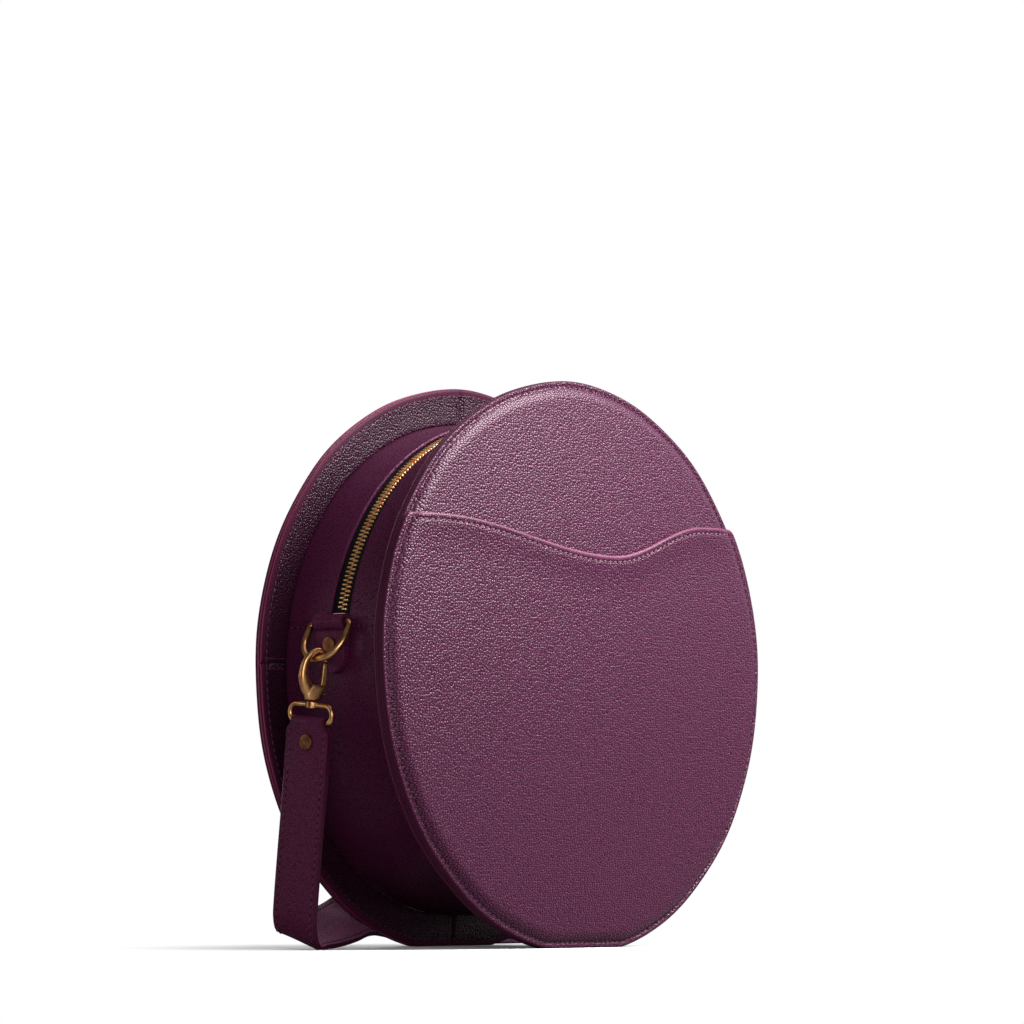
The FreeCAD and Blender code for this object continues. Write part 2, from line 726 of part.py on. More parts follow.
for side, frame, lean_sign in (("left", Placement(), 1), ("right", turned_round, -1)):
    half_tab = S.tab_width / 2
    loop = cylinder(f"{side}_tab_loop", S.ring_wire / 2 + S.ring_play + S.tab_leather, S.tab_width,
                    frame.multiply(at(-bar_x, zip_y - half_tab, bar_z, ALONG_Y)))
    layers = box(f"{side}_tab_layers", S.tab_leather * 2, S.tab_width, bar_z - round_z,
                 frame.multiply(at(-tab_face, zip_y - half_tab, round_z)))
    tongue = cylinder(f"{side}_tab_tongue", half_tab, S.tab_leather * 2,
                      frame.multiply(at(-tab_face, zip_y, round_z, ALONG_X)))
    bar_bore = cylinder(f"{side}_bar_bore", S.ring_wire / 2 + S.ring_play, S.tab_width * 2,
                        frame.multiply(at(-bar_x, zip_y - S.tab_width, bar_z, ALONG_Y)))
    node(f"{side}_tab", cut(f"{side}_tab", fuse(f"{side}_tab", loop, layers, tongue),
                            bar_bore, rivet_bore))
    rivet(f"{side}_tab_rivet", frame.multiply(at(0, zip_y, rivet_z)), -tab_face, -burr_seat)

    ring_turn = Rotation(Vector(0, 1, 0), float(S.ring_tilt_angle))
    node(f"{side}_ring", shaped(f"{side}_ring", ring_shape(),
                                frame.multiply(at(-bar_x, zip_y, bar_z, ring_turn))))

    lean = Rotation(Vector(1, 0, 0), lean_sign * float(S.clasp_lean_angle))
    turn = Placement(Vector(), Rotation(Vector(0, 0, 1), -float(S.hook_turn_angle)))
    hang = Vector(-bow_x, float(zip_y), bow_z) - lean.multVec(turn.multVec(seat_in_hook))
    clasp = frame.multiply(Placement(hang, lean))
    hook_place = clasp.multiply(turn)
    node(f"{side}_hook", shaped(f"{side}_hook", hook_shape(), hook_place))
    node(f"{side}_gate", shaped(f"{side}_gate", gate_shape(), hook_place))
    node(f"{side}_gate_spring", shaped(f"{side}_gate_spring", spring_shape(), hook_place))
    pin_place = at(gate_pivot[0], -S.hook_thickness / 2, gate_pivot[1], ALONG_Y)
    node(f"{side}_gate_pin", cylinder(f"{side}_gate_pin", S.gate_pin / 2, S.hook_thickness,
                                      hook_place.multiply(pin_place)))

    collar_foot = at(0, 0, -S.collar_gap - S.collar_height)
    collar = cylinder(f"{side}_collar", S.collar / 2, S.collar_height, clasp.multiply(collar_foot))
    wire_loop = shaped(f"{side}_eye_loop", eye_shape(), clasp)
    stem_bore = cylinder(f"{side}_stem_bore", S.stem / 2 + S.stem_play, S.collar_height,
                         clasp.multiply(collar_foot))
    node(f"{side}_swivel_eye", cut(f"{side}_swivel_eye",
                                   fuse(f"{side}_swivel_eye", collar, wire_loop), stem_bore))
    node(f"{side}_strap_end", shaped(f"{side}_strap_end", strap_end_shape(), clasp))
    rivet(f"{side}_strap_rivet", clasp.multiply(at(0, 0, strap_rivet_z)),
          -S.fold_leather, S.fold_leather)
    leg_starts[side] = clasp.multiply(at(0, 0, fold_foot - S.leg_gap))


# Strap between the clasps: two legs and a hank folded on edge behind the bag
def ribbon(sections):
    """Strap through sections, each a middle, a direction across and one along."""
    half_width, half_leather = float(S.strap_width) / 2, float(S.strap_leather) / 2
    outlines = []
    for middle_spot, across_strap, along in sections:
        wide = across_strap.normalize() * half_width
        thick = along.cross(across_strap).normalize() * half_leather
        corners = [wide + thick, thick - wide, -wide - thick, wide - thick]
        spots = [middle_spot + corner for corner in corners]
        outlines.append(Part.makePolygon([*spots, spots[0]]))
    stretches = [Part.makeLoft([start, end], True, True) for start, end in zip(outlines, outlines[1:])]
    return stretches[0].fuse(stretches[1:])


def leg_start(side, sign):
    """The leg's first section, square to the folded strap end."""
    turn = leg_starts[side].Rotation
    return (leg_starts[side].Base, turn.multVec(Vector(0, sign, 0)), turn.multVec(Vector(0, 0, -1)))


edge_z = float(S.strap_width / 2 + S.floor_gap)
hank_front = float(middle + seat + S.panel_leather + S.hank_gap + S.strap_leather / 2)
pitch, run, runs = float(S.hank_pitch), float(S.hank_run), int(float(S.hank_runs))
near = float(S.hank_near)
up = Vector(0, 0, 1)

# left leg: hangs to the floor, folds under and leans on edge as it goes behind the bag
left_sections = [
    leg_start("left", 1),
    (Vector(-121.6, 13.2, 46), Vector(0, 0.99, 0.1), Vector(0, 0.1, -0.99)),
    (Vector(-121.6, 15.8, 22), Vector(0, 0.99, 0.13), Vector(0, 0.13, -0.99)),
    (Vector(-121.0, 17.0, 11.5), Vector(0, 0.98, 0.2), Vector(0.15, 0.12, -0.98)),
    (Vector(-117.5, 18.2, 5.0), Vector(-0.05, 0.95, 0.32), Vector(0.75, 0.14, -0.55)),
    (Vector(-110.0, 20.5, 5.6), Vector(-0.15, 0.92, 0.38), Vector(0.95, 0.3, 0.1)),
    (Vector(-97.0, 25.5, 7.4), Vector(-0.3, 0.84, 0.45), Vector(0.92, 0.38, 0.12)),
    (Vector(-80.0, 32.7, 9.9), Vector(-0.41, 0.75, 0.5), Vector(0.89, 0.42, 0.13)),
    (Vector(-61.5, 42.5, 12.5), Vector(-0.36, 0.74, 0.56), Vector(0.88, 0.45, 0.15)),
    (Vector(-44.0, 48.5, 15.5), Vector(-0.22, 0.52, 0.82), Vector(0.95, 0.27, 0.08)),
    (Vector(-24.0, 52.6, 15.6), Vector(-0.08, 0.2, 0.97), Vector(0.98, 0.15, -0.06)),
    (Vector(0, hank_front, edge_z), up, Vector(1, 0, 0)),
]
hank_back = hank_front + pitch * (runs - 1)
right_exit = run - pitch
right_sections = [
    leg_start("right", -1),
    (Vector(122.5, 14.5, 56), Vector(0.1, 0.95, 0.25), Vector(0.05, 0.25, -0.96)),
    (Vector(124.5, 26.0, 38), Vector(0.12, 0.82, 0.55), Vector(0.05, 0.55, -0.83)),
    (Vector(125.0, 44.0, 24), Vector(0.1, 0.5, 0.86), Vector(-0.02, 0.86, -0.5)),
    (Vector(124.0, 64.0, 16), Vector(0.05, 0.2, 0.97), Vector(-0.1, 0.97, -0.2)),
    (Vector(121.0, 79.0, edge_z + 0.4), Vector(0, 0.05, 1), Vector(-0.4, 0.9, -0.04)),
    (Vector(114.0, 89.5, edge_z), up, Vector(-0.8, 0.6, 0)),
    (Vector(106.0, hank_back - 0.7, edge_z), up, Vector(-0.97, 0.22, 0)),
    (Vector(right_exit, hank_back, edge_z), up, Vector(-1, 0, 0)),
]
node("left_strap_leg", shaped("left_strap_leg", ribbon(left_sections), Placement()))
node("right_strap_leg", shaped("right_strap_leg", ribbon(right_sections), Placement()))


def hank_shape():
    """Straight runs joined by half turns, the strap standing on its edge."""
    bend = pitch / 2
    near_x, far_x, z = near, run, edge_z
    path, length = [], 0.0
    start = Vector(0, hank_front, z)
    for count in range(runs):
        outward = count % 2 == 0
        end_x = far_x if outward else near_x
        if count == runs - 1:
            end_x = right_exit
        end = Vector(end_x, start.y, z)
        path.append(Part.makeLine(start, end))
        length += (end - start).Length
        if count < runs - 1:
            bulge = Vector(end_x + (bend if outward else -bend), end.y + bend, z)
            start = Vector(end_x, end.y + pitch, z)
            path.append(Part.Arc(end, bulge, start).toShape())
            length += math.pi * bend
    half_width, half_leather = float(S.strap_width) / 2, float(S.strap_leather) / 2
    first = Vector(0, hank_front, z)
    sides = [(half_leather, half_width), (-half_leather, half_width),
             (-half_leather, -half_width), (half_leather, -half_width)]
    spots = [first + Vector(0, y, dz) for y, dz in sides]
    section = Part.makePolygon([*spots, spots[0]])
    strip = Part.Wire(path).makePipeShell([section], True, False)
    print(f"hank: {length:.1f} mm of strap, volume {strip.Volume:.0f} of "
          f"{length * float(S.strap_width) * float(S.strap_leather):.0f} mm3")
    return strip, length


def least_gap():
    """Least clear space between runs, measured on points of the hank's path."""
    spots = []
    for count in range(runs):
        y = hank_front + count * pitch
        spots += [(x, y, count) for x in range(int(near), int(right_exit), 2)]
    gaps = [math.dist(a[:2], b[:2]) for a in spots for b in spots if a[2] < b[2]]
    return min(gaps) - float(S.strap_leather)


hank, hank_length = hank_shape()
print(f"least gap of the hank to itself: {least_gap():.2f} mm")
node("strap_hank", shaped("strap_hank", hank, Placement()))
leg_lengths = [sum((b[0] - a[0]).Length for a, b in zip(sections, sections[1:]))
               for sections in (left_sections, right_sections)]
strap_length = hank_length + sum(leg_lengths) + 2 * float(S.fold_length)
print(f"strap between its folds: {strap_length:.0f} mm")

# Every object is whole before anything is written
doc.recompute()
for thing in doc.Objects:
    if "Invalid" in thing.State or "Error" in thing.State:
        raise RuntimeError(f"{thing.Label} failed: {thing.State}")
for name, thing in nodes.items():
    if thing.Label != name or thing.Shape.isNull() or not thing.Shape.isValid():
        raise RuntimeError(f"{name} has no sound shape")
os.makedirs("parts", exist_ok=True)
for name, thing in nodes.items():
    thing.Shape.exportStep(f"parts/{name}.step")
print(f"{len(nodes)} nodes written")
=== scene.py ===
"""Circle bag in plum leather, seen from its front left, with its strap hanging at the left."""

import math

import bmesh
import bpy
import numpy as np
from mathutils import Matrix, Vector


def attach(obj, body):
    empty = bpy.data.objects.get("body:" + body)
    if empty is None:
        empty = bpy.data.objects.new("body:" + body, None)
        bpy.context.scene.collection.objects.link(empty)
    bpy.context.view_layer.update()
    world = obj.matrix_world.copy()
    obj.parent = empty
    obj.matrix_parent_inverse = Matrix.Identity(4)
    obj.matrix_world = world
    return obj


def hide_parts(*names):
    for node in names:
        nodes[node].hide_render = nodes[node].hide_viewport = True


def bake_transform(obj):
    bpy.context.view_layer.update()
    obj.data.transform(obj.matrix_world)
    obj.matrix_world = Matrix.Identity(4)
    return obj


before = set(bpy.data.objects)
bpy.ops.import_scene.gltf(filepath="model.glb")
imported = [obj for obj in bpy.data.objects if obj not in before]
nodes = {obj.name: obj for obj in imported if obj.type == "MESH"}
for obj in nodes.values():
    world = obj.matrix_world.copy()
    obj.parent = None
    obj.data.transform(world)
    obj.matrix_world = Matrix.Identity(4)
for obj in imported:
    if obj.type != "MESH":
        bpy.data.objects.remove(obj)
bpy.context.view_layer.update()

# Sizes of the bag, in millimetres, as in the part
MM = 0.001
PER_METRE = 1000.0
PANEL_R = 125.0
GUSSET_R = 109.0
CENTRE_Z = 122.5
MIDDLE_Y = 0.85
ZIP_Y = 4.85
SEAT = 35.0
PANEL_LEATHER = 2.0
POCKET_BASE = 2.1
POCKET_LEATHER = 1.6
FACING_LEATHER = 2.0
GUSSET_LEATHER = 2.0
CROWN = 7.0
SHOULDER = 2.5
CROWN_R = 117.0
MARGIN_R = 122.0
TAPE_R = GUSSET_R - 2.1
ZIP_SLOT = 11.0
STRAP_WIDTH = 25.0
STRAP_LEATHER = 2.2
# the zip strips meet the lower gusset this far above the bag's middle
JOIN_HEIGHT = 18.0
JOIN = math.asin(JOIN_HEIGHT / GUSSET_R)
SIDES = ("left", "right")

# Colours and materials
# tint of the leather's shine, and the refraction of the round layers' glossy finish
SHEEN, GLOSS_IOR = "#ffe2ee", 1.55
# noise that bends the grain: its fineness and its reach, both for a cell of one millimetre
WARP_SCALE, WARP_REACH = 300.0, 0.5
# a pebble's foot and top, as distances from its middle, and the width of a crease's painted shade, all in
# cells
PEBBLE_FOOT, PEBBLE_TOP, CREASE = 0.8, 0.15, 0.24
# how much more than the leather as a whole its pebbles shine
PEBBLE_SHINE = 1.4
# levels of the noise between which the patina gives way to bright brass
PATINA_FROM, PATINA_TO = 0.35, 0.65


def colour(code):
    """Linear colour from an sRGB hex code."""
    parts = [int(code[i:i + 2], 16) / 255 for i in (1, 3, 5)]
    return (*[c / 12.92 if c <= 0.04045 else ((c + 0.055) / 1.055) ** 2.4 for c in parts], 1.0)


def grey(level):
    """Colour without hue at a linear level."""
    return (level, level, level, 1.0)


def add(tree, kind, inputs=None, **settings):
    """A node with its settings, and with values or other nodes' outputs in its sockets."""
    made = tree.nodes.new(kind)
    for key, value in settings.items():
        setattr(made, key, value)
    for key, value in (inputs or {}).items():
        if isinstance(value, bpy.types.NodeSocket):
            tree.links.new(value, made.inputs[key])
        else:
            made.inputs[key].default_value = value
    return made


def material(name, roughness, metallic=0.0, specular=0.5):
    """A new material, its node tree and its main shader."""
    made = bpy.data.materials.new(name)
    made.use_nodes = True
    shader = made.node_tree.nodes["Principled BSDF"]
    shader.inputs["Roughness"].default_value = roughness
    shader.inputs["Metallic"].default_value = metallic
    shader.inputs["Specular IOR Level"].default_value = specular
    return made, made.node_tree, shader


def leather(name, light, dark, cell, depth, roughness, specular, flat=0.0):
    """Dyed leather: rounded grain of a size in millimetres, with painted shade in the creases between:
    darker and without shine.
    """
    made, tree, shader = material(name, roughness, specular=specular)
    shader.inputs["Specular Tint"].default_value = colour(SHEEN)
    place = add(tree, "ShaderNodeTexCoord").outputs["Object"]
    if flat:
        # the round layers have a glossy finish, and grain in the plane of the panel, stretched across it
        shader.inputs["IOR"].default_value = GLOSS_IOR
        turned = {"Vector": place, "Rotation": (math.pi / 2, 0, 0), "Scale": (flat, 1, 1)}
        place = add(tree, "ShaderNodeMapping", turned).outputs[0]
    warp = add(tree, "ShaderNodeTexNoise", {"Vector": place, "Scale": WARP_SCALE / cell, "Detail": 1.0})
    bent = add(tree, "ShaderNodeVectorMath",
               {0: warp.outputs["Color"], 1: (WARP_REACH * cell * MM,) * 3, 2: place},
               operation="MULTIPLY_ADD")
    grain = {"Vector": bent.outputs[0], "Scale": PER_METRE / cell, "Randomness": 0.9 if flat else 1.0}
    sides = "2D" if flat else "3D"
    pebble = add(tree, "ShaderNodeTexVoronoi", grain, voronoi_dimensions=sides)
    rise = add(tree, "ShaderNodeMapRange",
               {"Value": pebble.outputs["Distance"], "From Min": PEBBLE_FOOT, "From Max": PEBBLE_TOP},
               interpolation_type="SMOOTHSTEP")
    bump = add(tree, "ShaderNodeBump", {"Height": rise.outputs[0], "Strength": 1.0, "Distance": depth * MM})
    gap = add(tree, "ShaderNodeTexVoronoi", grain, voronoi_dimensions=sides, feature="DISTANCE_TO_EDGE")
    crease = add(tree, "ShaderNodeMapRange", {"Value": gap.outputs["Distance"], "From Max": CREASE},
                 interpolation_type="SMOOTHSTEP").outputs[0]
    # painted shade in the creases: they take the dark colour, and below they lose their shine
    dye_and_crease_shade = add(tree, "ShaderNodeMix", {0: crease, 6: colour(dark), 7: colour(light)}, data_type="RGBA")
    shine = add(tree, "ShaderNodeMath", {0: crease, 1: PEBBLE_SHINE * specular}, operation="MULTIPLY")
    tree.links.new(dye_and_crease_shade.outputs[2], shader.inputs["Base Color"])
    tree.links.new(shine.outputs[0], shader.inputs["Specular IOR Level"])
    tree.links.new(bump.outputs[0], shader.inputs["Normal"])
    return made


def metal(name, light, dark, roughness, patch, metallic=1.0):
    """Brass with a darker patina in soft patches of a size in millimetres."""
    made, tree, shader = material(name, roughness, metallic)
    place = add(tree, "ShaderNodeTexCoord").outputs["Object"]
    patina = add(tree, "ShaderNodeTexNoise", {"Vector": place, "Scale": PER_METRE / patch, "Detail": 4.0})
    share = add(tree, "ShaderNodeMapRange",
                {"Value": patina.outputs["Fac"], "From Min": PATINA_FROM, "From Max": PATINA_TO})
    tint = add(tree, "ShaderNodeMix", {0: share.outputs[0], 6: colour(dark), 7: colour(light)},
               data_type="RGBA")
    tree.links.new(tint.outputs[2], shader.inputs["Base Color"])
    return made


def plain(name, code, roughness, specular=0.5):
    """One even colour."""
    made, _, shader = material(name, roughness, specular=specular)
    shader.inputs["Base Color"].default_value = colour(code)
    return made


# milled cowhide of the round panels and the pocket: pebbles with a soft gloss, and painted shade darkening
# the creases between
PANEL = leather("pebbled_leather", "#4b1938", "#230919",
                cell=1.0, depth=0.14, roughness=0.34, specular=0.31, flat=0.72)
# the same hide on the rims' inner faces: deeper grain, and painted darker as the shade that falls between
# the rims
SHADED_FACING = leather("facing_leather", "#2d0b20", "#12030d",
                 cell=1.0, depth=0.17, roughness=0.38, specular=0.3, flat=1.0)
# smooth dyed cowhide of the gusset: a faint grain and an even sheen
GUSSET = leather("gusset_leather", "#4b1837", "#3d132c",
                 cell=0.9, depth=0.03, roughness=0.38, specular=0.25)
# smooth dyed cowhide of strap and tabs: a little redder and duller
STRAP = leather("strap_leather", "#521a3a", "#451630",
                cell=1.0, depth=0.03, roughness=0.42, specular=0.2)
# split leather that lines the strap: pale as a flesh side is, and painted paler still as light on the
# strap's turned face; rough and matt
LIT_LINING = leather("strap_lining", "#93587a", "#6d3c58",
                 cell=1.0, depth=0.1, roughness=0.5, specular=0.3)
# cut edges, painted and burnished: one dark, dull line
EDGE = plain("painted_edge", "#3c0f28", 0.5, 0.1)
# cut edges that the paint missed, where two layers meet: a thin red line
RAW = plain("raw_edge", "#7a2a4c", 0.5, 0.2)
# the pocket's rolled edge along its mouth, painted paler as a painted highlight, with a slight gloss
LIT_POCKET_EDGE = plain("highlit_pocket_edge", "#733552", 0.4)
# leather pressed smooth between the pocket's edge and its thread: no grain, and a soft gloss
BURNISHED = plain("burnished_leather", "#54203e", 0.4, 0.3)
# waxed thread: a shade redder than the leather, with a dull shine
THREAD = plain("waxed_thread", "#50223c", 0.6, 0.3)
# the same thread on the rims' inner faces, painted darker for the shade it lies in there, so that it hardly
# shows
SHADED_THREAD = plain("dark_thread", "#43182f", 0.55)
# the same thread along the pocket's mouth, painted paler as a painted highlight: a pale dotted line
LIT_MOUTH_THREAD = plain("highlit_mouth_thread", "#704752", 0.55)
# dark beads in the needle's holes: painted shade, nearly black, without shine
HOLE_SHADE = plain("needle_hole_shade", "#12040d", 0.9, 0.1)
# foam that fills the panels: pale and chalky
FOAM = plain("foam", "#d8d2c0", 0.9, 0.2)
# woven zip tape: black and matt, its weave too fine to show
TAPE = plain("woven_tape", "#0b070a", 0.85, 0.2)
# cast and antiqued brass of rings and clasps: warm, blurred reflections and a brown patina
BRASS = metal("antique_brass", "#ecb47c", "#b37a4e", roughness=0.29, patch=6.0)
# bronzed caps of the rivets: brown, with duller reflections
RIVET = metal("rivet_bronze", "#8f5f40", "#5f3a26", roughness=0.4, patch=3.0)
# lacquered brass of the zip: brighter and yellower
ZIP_BRASS = metal("zip_brass", "#ffd09a", "#e0a268", roughness=0.36, patch=3.0, metallic=0.7)

# Building meshes in millimetres
# points nearer than this become one
WELD = 0.002


class Build:
    """Collects points, faces and each face's material before they become one piece."""

    def __init__(self):
        self.points = []
        self.faces = []
        self.paint = []

    def grid(self, rows, paint=0):
        """Quads between closed rows of points; paint is a place in the materials, or one for each column."""
        rows = np.asarray(rows, float)
        count, width = rows.shape[:2]
        base = len(self.points)
        self.points.extend(rows.reshape(-1, 3))
        for i in range(count - 1):
            for j in range(width):
                a, b = base + i * width, base + (i + 1) * width
                k = (j + 1) % width
                self.faces.append((a + j, a + k, b + k, b + j))
                self.paint.append(paint if isinstance(paint, int) else paint[j])

    def face(self, points, paint):
        """One flat face with points of its own."""
        base = len(self.points)
        self.points.extend(points)
        self.faces.append(tuple(range(base, base + len(points))))
        self.paint.append(paint)

    def tube(self, sections, paint=0):
        """A skin over closed sections, capped at both ends."""
        self.grid(sections, paint)
        cap = paint if isinstance(paint, int) else paint[0]
        self.face(sections[0], cap)
        self.face(sections[-1], cap)

    def piece(self, name, materials, body, replaced=(), smooth_deg=50.0):
        """The mesh as a piece that rides on a body and stands for CAD nodes."""
        data = bpy.data.meshes.new(name)
        data.from_pydata([tuple(p * MM) for p in np.asarray(self.points)], [], self.faces)
        for used in materials:
            data.materials.append(used)
        data.polygons.foreach_set("material_index", self.paint)
        data.polygons.foreach_set("use_smooth", [True] * len(self.faces))
        clean = bmesh.new()
        clean.from_mesh(data)
        bmesh.ops.remove_doubles(clean, verts=clean.verts, dist=WELD * MM)
        bmesh.ops.recalc_face_normals(clean, faces=clean.faces)
        clean.to_mesh(data)
        clean.free()
        data.set_sharp_from_angle(angle=math.radians(smooth_deg))
        made = bpy.data.objects.new(name, data)
        bpy.context.scene.collection.objects.link(made)
        if body:
            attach(made, body)
        if replaced:
            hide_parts(*replaced)
        return made


def unit(v):
    """Vectors of length one."""
    v = np.asarray(v, float)
    return v / np.linalg.norm(v, axis=-1, keepdims=True)


def smoothstep(low, high, x):
    """A soft rise from 0 at low to 1 at high."""
    t = np.clip((np.asarray(x, float) - low) / (high - low), 0, 1)
    return t * t * (3 - 2 * t)


def through(knots, steps):
    """Smooth line through knots, with so many steps between each two."""
    knots = np.asarray(knots, float)
    padded = np.vstack([2 * knots[0] - knots[1], knots, 2 * knots[-1] - knots[-2]])
    out = []
    for a, b, c, d in zip(padded, padded[1:], padded[2:], padded[3:]):
        for t in np.linspace(0, 1, steps, endpoint=False):
            out.append(0.5 * (2 * b + (c - a) * t + (2 * a - 5 * b + 4 * c - d) * t**2
                              + (3 * b - a - 3 * c + d) * t**3))
    out.append(knots[-1])
    return np.array(out)


def run_along(path):
    """Length of a path from its start to each of its points."""
    return np.concatenate([[0], np.cumsum(np.linalg.norm(np.diff(path, axis=0), axis=1))])


def square_to(path, across):
    """Unit directions across and out at each point, both square to the path."""
    along = unit(np.gradient(path, axis=0))
    out = unit(np.cross(along, np.broadcast_to(across, path.shape)))
    return unit(np.cross(out, along)), out


def swept(path, across, section, stretch=1.0, deepen=1.0):
    """A section of (across, out) pairs carried along a path, wider or deeper where asked."""
    section = np.asarray(section, float)
    across, out = square_to(path, across)
    wide = np.broadcast_to(stretch, len(path))[:, None, None]
    deep = np.broadcast_to(deepen, len(path))[:, None, None]
    return (path[:, None] + section[None, :, :1] * across[:, None] * wide
            + section[None, :, 1:] * out[:, None] * deep)


def circle(radius, count):
    """Points round a circle."""
    turn = np.linspace(0, 2 * math.pi, count, endpoint=False)
    return radius * np.stack([np.cos(turn), np.sin(turn)], 1)


def squarish(count, power):
    """Points round a circle of radius 1, squarer as the power falls below 1."""
    ring = circle(1.0, count)
    return np.sign(ring) * np.abs(ring) ** power


# Thread
# a stitch, and a needle's hole with its bead of painted shade, from end to end: share of the length, and
# share of the thickness
STITCH = [(-0.5, 0.35), (-0.38, 0.85), (-0.15, 1.0), (0.15, 1.0), (0.38, 0.85), (0.5, 0.35)]
NEEDLE = [(-0.5, 0.3), (-0.3, 0.8), (0.0, 1.0), (0.3, 0.8), (0.5, 0.3)]
NEEDLE_LENGTH, NEEDLE_R, NEEDLE_SINK = 1.7, 0.55, 0.3
# stitches lie a little aslant, and their ends dip into the leather
SLANT, END_DIP = 0.12, 1.2
# distance either way over which a stitch's direction is taken
REACH = 0.4


def stitch_row(build, path, normals, paint, pitch=3.3, length=2.1, radius=0.32, closed=False, sink=0.1):
    """Thread along a path: one rounded stitch to each pitch, and between each two a dark bead of painted
    shade for the needle's hole.
    """
    normals = np.broadcast_to(normals, path.shape)
    if closed:
        path, normals = np.vstack([path, path[:1]]), np.vstack([normals, normals[:1]])
    run = run_along(path)
    count = max(1, int(round(run[-1] / pitch)))
    ring = circle(1.0, 6)

    def at(s, values):
        return np.array([np.interp(s, run, values[:, k]) for k in range(3)])

    def bead(s, shape, long, thick, rise, used):
        middle, normal = at(s, path), unit(at(s, normals))
        along = unit(at(s + REACH, path) - at(s - REACH, path))
        side = unit(np.cross(normal, along))
        along = unit(along + SLANT * side)
        rows = []
        for place, swell in shape:
            low = rise - thick * (1.0 - swell) * END_DIP
            rows.append([middle + along * place * long + normal * low
                         + swell * thick * (a * side + b * normal) for a, b in ring])
        build.tube(rows, used)

    for k in range(count):
        bead((k + 0.5) * run[-1] / count, STITCH, length, radius, radius * 0.5 - sink, paint)
        # between stitches, a dark bead of painted shade where the needle's hole is
        bead(k * run[-1] / count, NEEDLE, NEEDLE_LENGTH, NEEDLE_R, -NEEDLE_SINK, paint + 1)


# The shape that the round layers share
FRONT, BACK = -1, 1
# the shoulder's round: radius and height of its middle, and its own radius
SHOULDER_MID_R, SHOULDER_MID_H, SHOULDER_R = 116.43, -4.888, 7.41
CROWN_SPHERE = (CROWN_R**2 + (CROWN - SHOULDER) ** 2) / (2 * (CROWN - SHOULDER))
# the row of thread round the rim draws the leather in
SEAM_R, GROOVE, GROOVE_WIDTH = 122.6, 0.3, 0.6
# waves left in the rim by its cutting: height, number and shift
UNEVEN = [(0.3, 5, 1.0), (0.2, 9, 0.4), (0.12, 17, 0.0)]
# where the rim points down less than this, it is nowhere near the floor
LEAST_DOWN = 0.2
# radii between which the layers take on the rim's outline
ROUND_TO, UNEVEN_FROM = 95, 124
# share of the bag's depth at its foot, and how much less it is at its top
FOOT_DEPTH, TOP_LOSS = 1.07, 0.15
# points round each ring of a layer
EVERY = np.linspace(0, 2 * math.pi, 300, endpoint=False)


def groove(distance):
    """How far a row of thread draws the leather in at a distance from it."""
    return -GROOVE * np.exp(-((distance / GROOVE_WIDTH) ** 2))


def dome(r):
    """Height of a layer's face above its own flat rim."""
    r = np.asarray(r, float)
    crown = CROWN - CROWN_SPHERE + np.sqrt(np.maximum(CROWN_SPHERE**2 - r**2, 0))
    shoulder = SHOULDER_MID_H + np.sqrt(np.maximum(SHOULDER_R**2 - (r - SHOULDER_MID_R) ** 2, 0))
    return np.where(r < CROWN_R, crown, np.where(r < MARGIN_R, shoulder, 0.0)) + groove(r - SEAM_R)


def rim_reach(theta):
    """The rim's radius: round, a little uneven as it was cut, and flat where it stands."""
    theta = np.asarray(theta, float)
    uneven = sum(high * np.sin(waves * theta + shift) for high, waves, shift in UNEVEN)
    downward = np.maximum(-np.sin(theta), LEAST_DOWN)
    return np.minimum(PANEL_R + uneven, CENTRE_Z / downward)


def lean(points):
    """The bag is wider where it stands and narrower at its top."""
    points = np.array(points, float)
    points[..., 1] *= FOOT_DEPTH - TOP_LOSS * np.clip(points[..., 2], 0, None) / (2 * PANEL_R)
    return points


def lay(x, up, height, side):
    """A place on a round layer: across, above its middle, and out from the panel's inner face."""
    x, up = np.asarray(x, float), np.asarray(up, float)
    r, theta = np.hypot(x, up), np.arctan2(up, x)
    share = smoothstep(ROUND_TO, UNEVEN_FROM, r) * (rim_reach(theta) / PANEL_R - 1) + 1
    height = np.broadcast_to(np.asarray(height, float), r.shape)
    return lean(np.stack([x * share, MIDDLE_Y + side * (SEAT + height), CENTRE_Z + up * share], -1))


def ring_of(radius, height, side):
    """A ring of points on a round layer."""
    return lay(radius * np.cos(EVERY), radius * np.sin(EVERY), height, side)


# Round panels and the foam under them
PANEL_RADII = [0.01, *np.linspace(6, 114, 28), *np.linspace(115, 121.5, 14),
               *np.linspace(121.8, 123.6, 10), 124.5]
# radius and height along the burnished edge, and along the raw line below it
PANEL_EDGE = [(124.5, PANEL_LEATHER), (124.8, PANEL_LEATHER - 0.15), (125.0, PANEL_LEATHER - 0.5),
              (125.05, 1.0), (125.0, 0.55)]
PANEL_RAW = [(125.0, 0.55), (124.7, 0.2), (124.1, 0.0)]
LINING_RADII = [124.1, 121.5, 120, 118, 116, 100, 50, 0.01]
FOAM_RADII = [0.01, *np.linspace(20, 114, 8), 116.0]
FOAM_FOOT = 0.05


def round_panel(name, side, replaced):
    """Leather disc over its padding: crown, shoulder, flat rim, burnished edge and inner face."""
    build = Build()
    build.grid([ring_of(r, PANEL_LEATHER + dome(r), side) for r in PANEL_RADII])
    build.grid([ring_of(r, h, side) for r, h in PANEL_EDGE], 1)
    build.grid([ring_of(r, h, side) for r, h in PANEL_RAW], 4)
    build.grid([ring_of(r, dome(r), side) for r in LINING_RADII])
    row = ring_of(SEAM_R, PANEL_LEATHER - GROOVE, side)
    stitch_row(build, row, (0, side, 0), 2, closed=True)
    return build.piece(name, [PANEL, EDGE, THREAD, HOLE_SHADE, RAW], "bag", replaced)


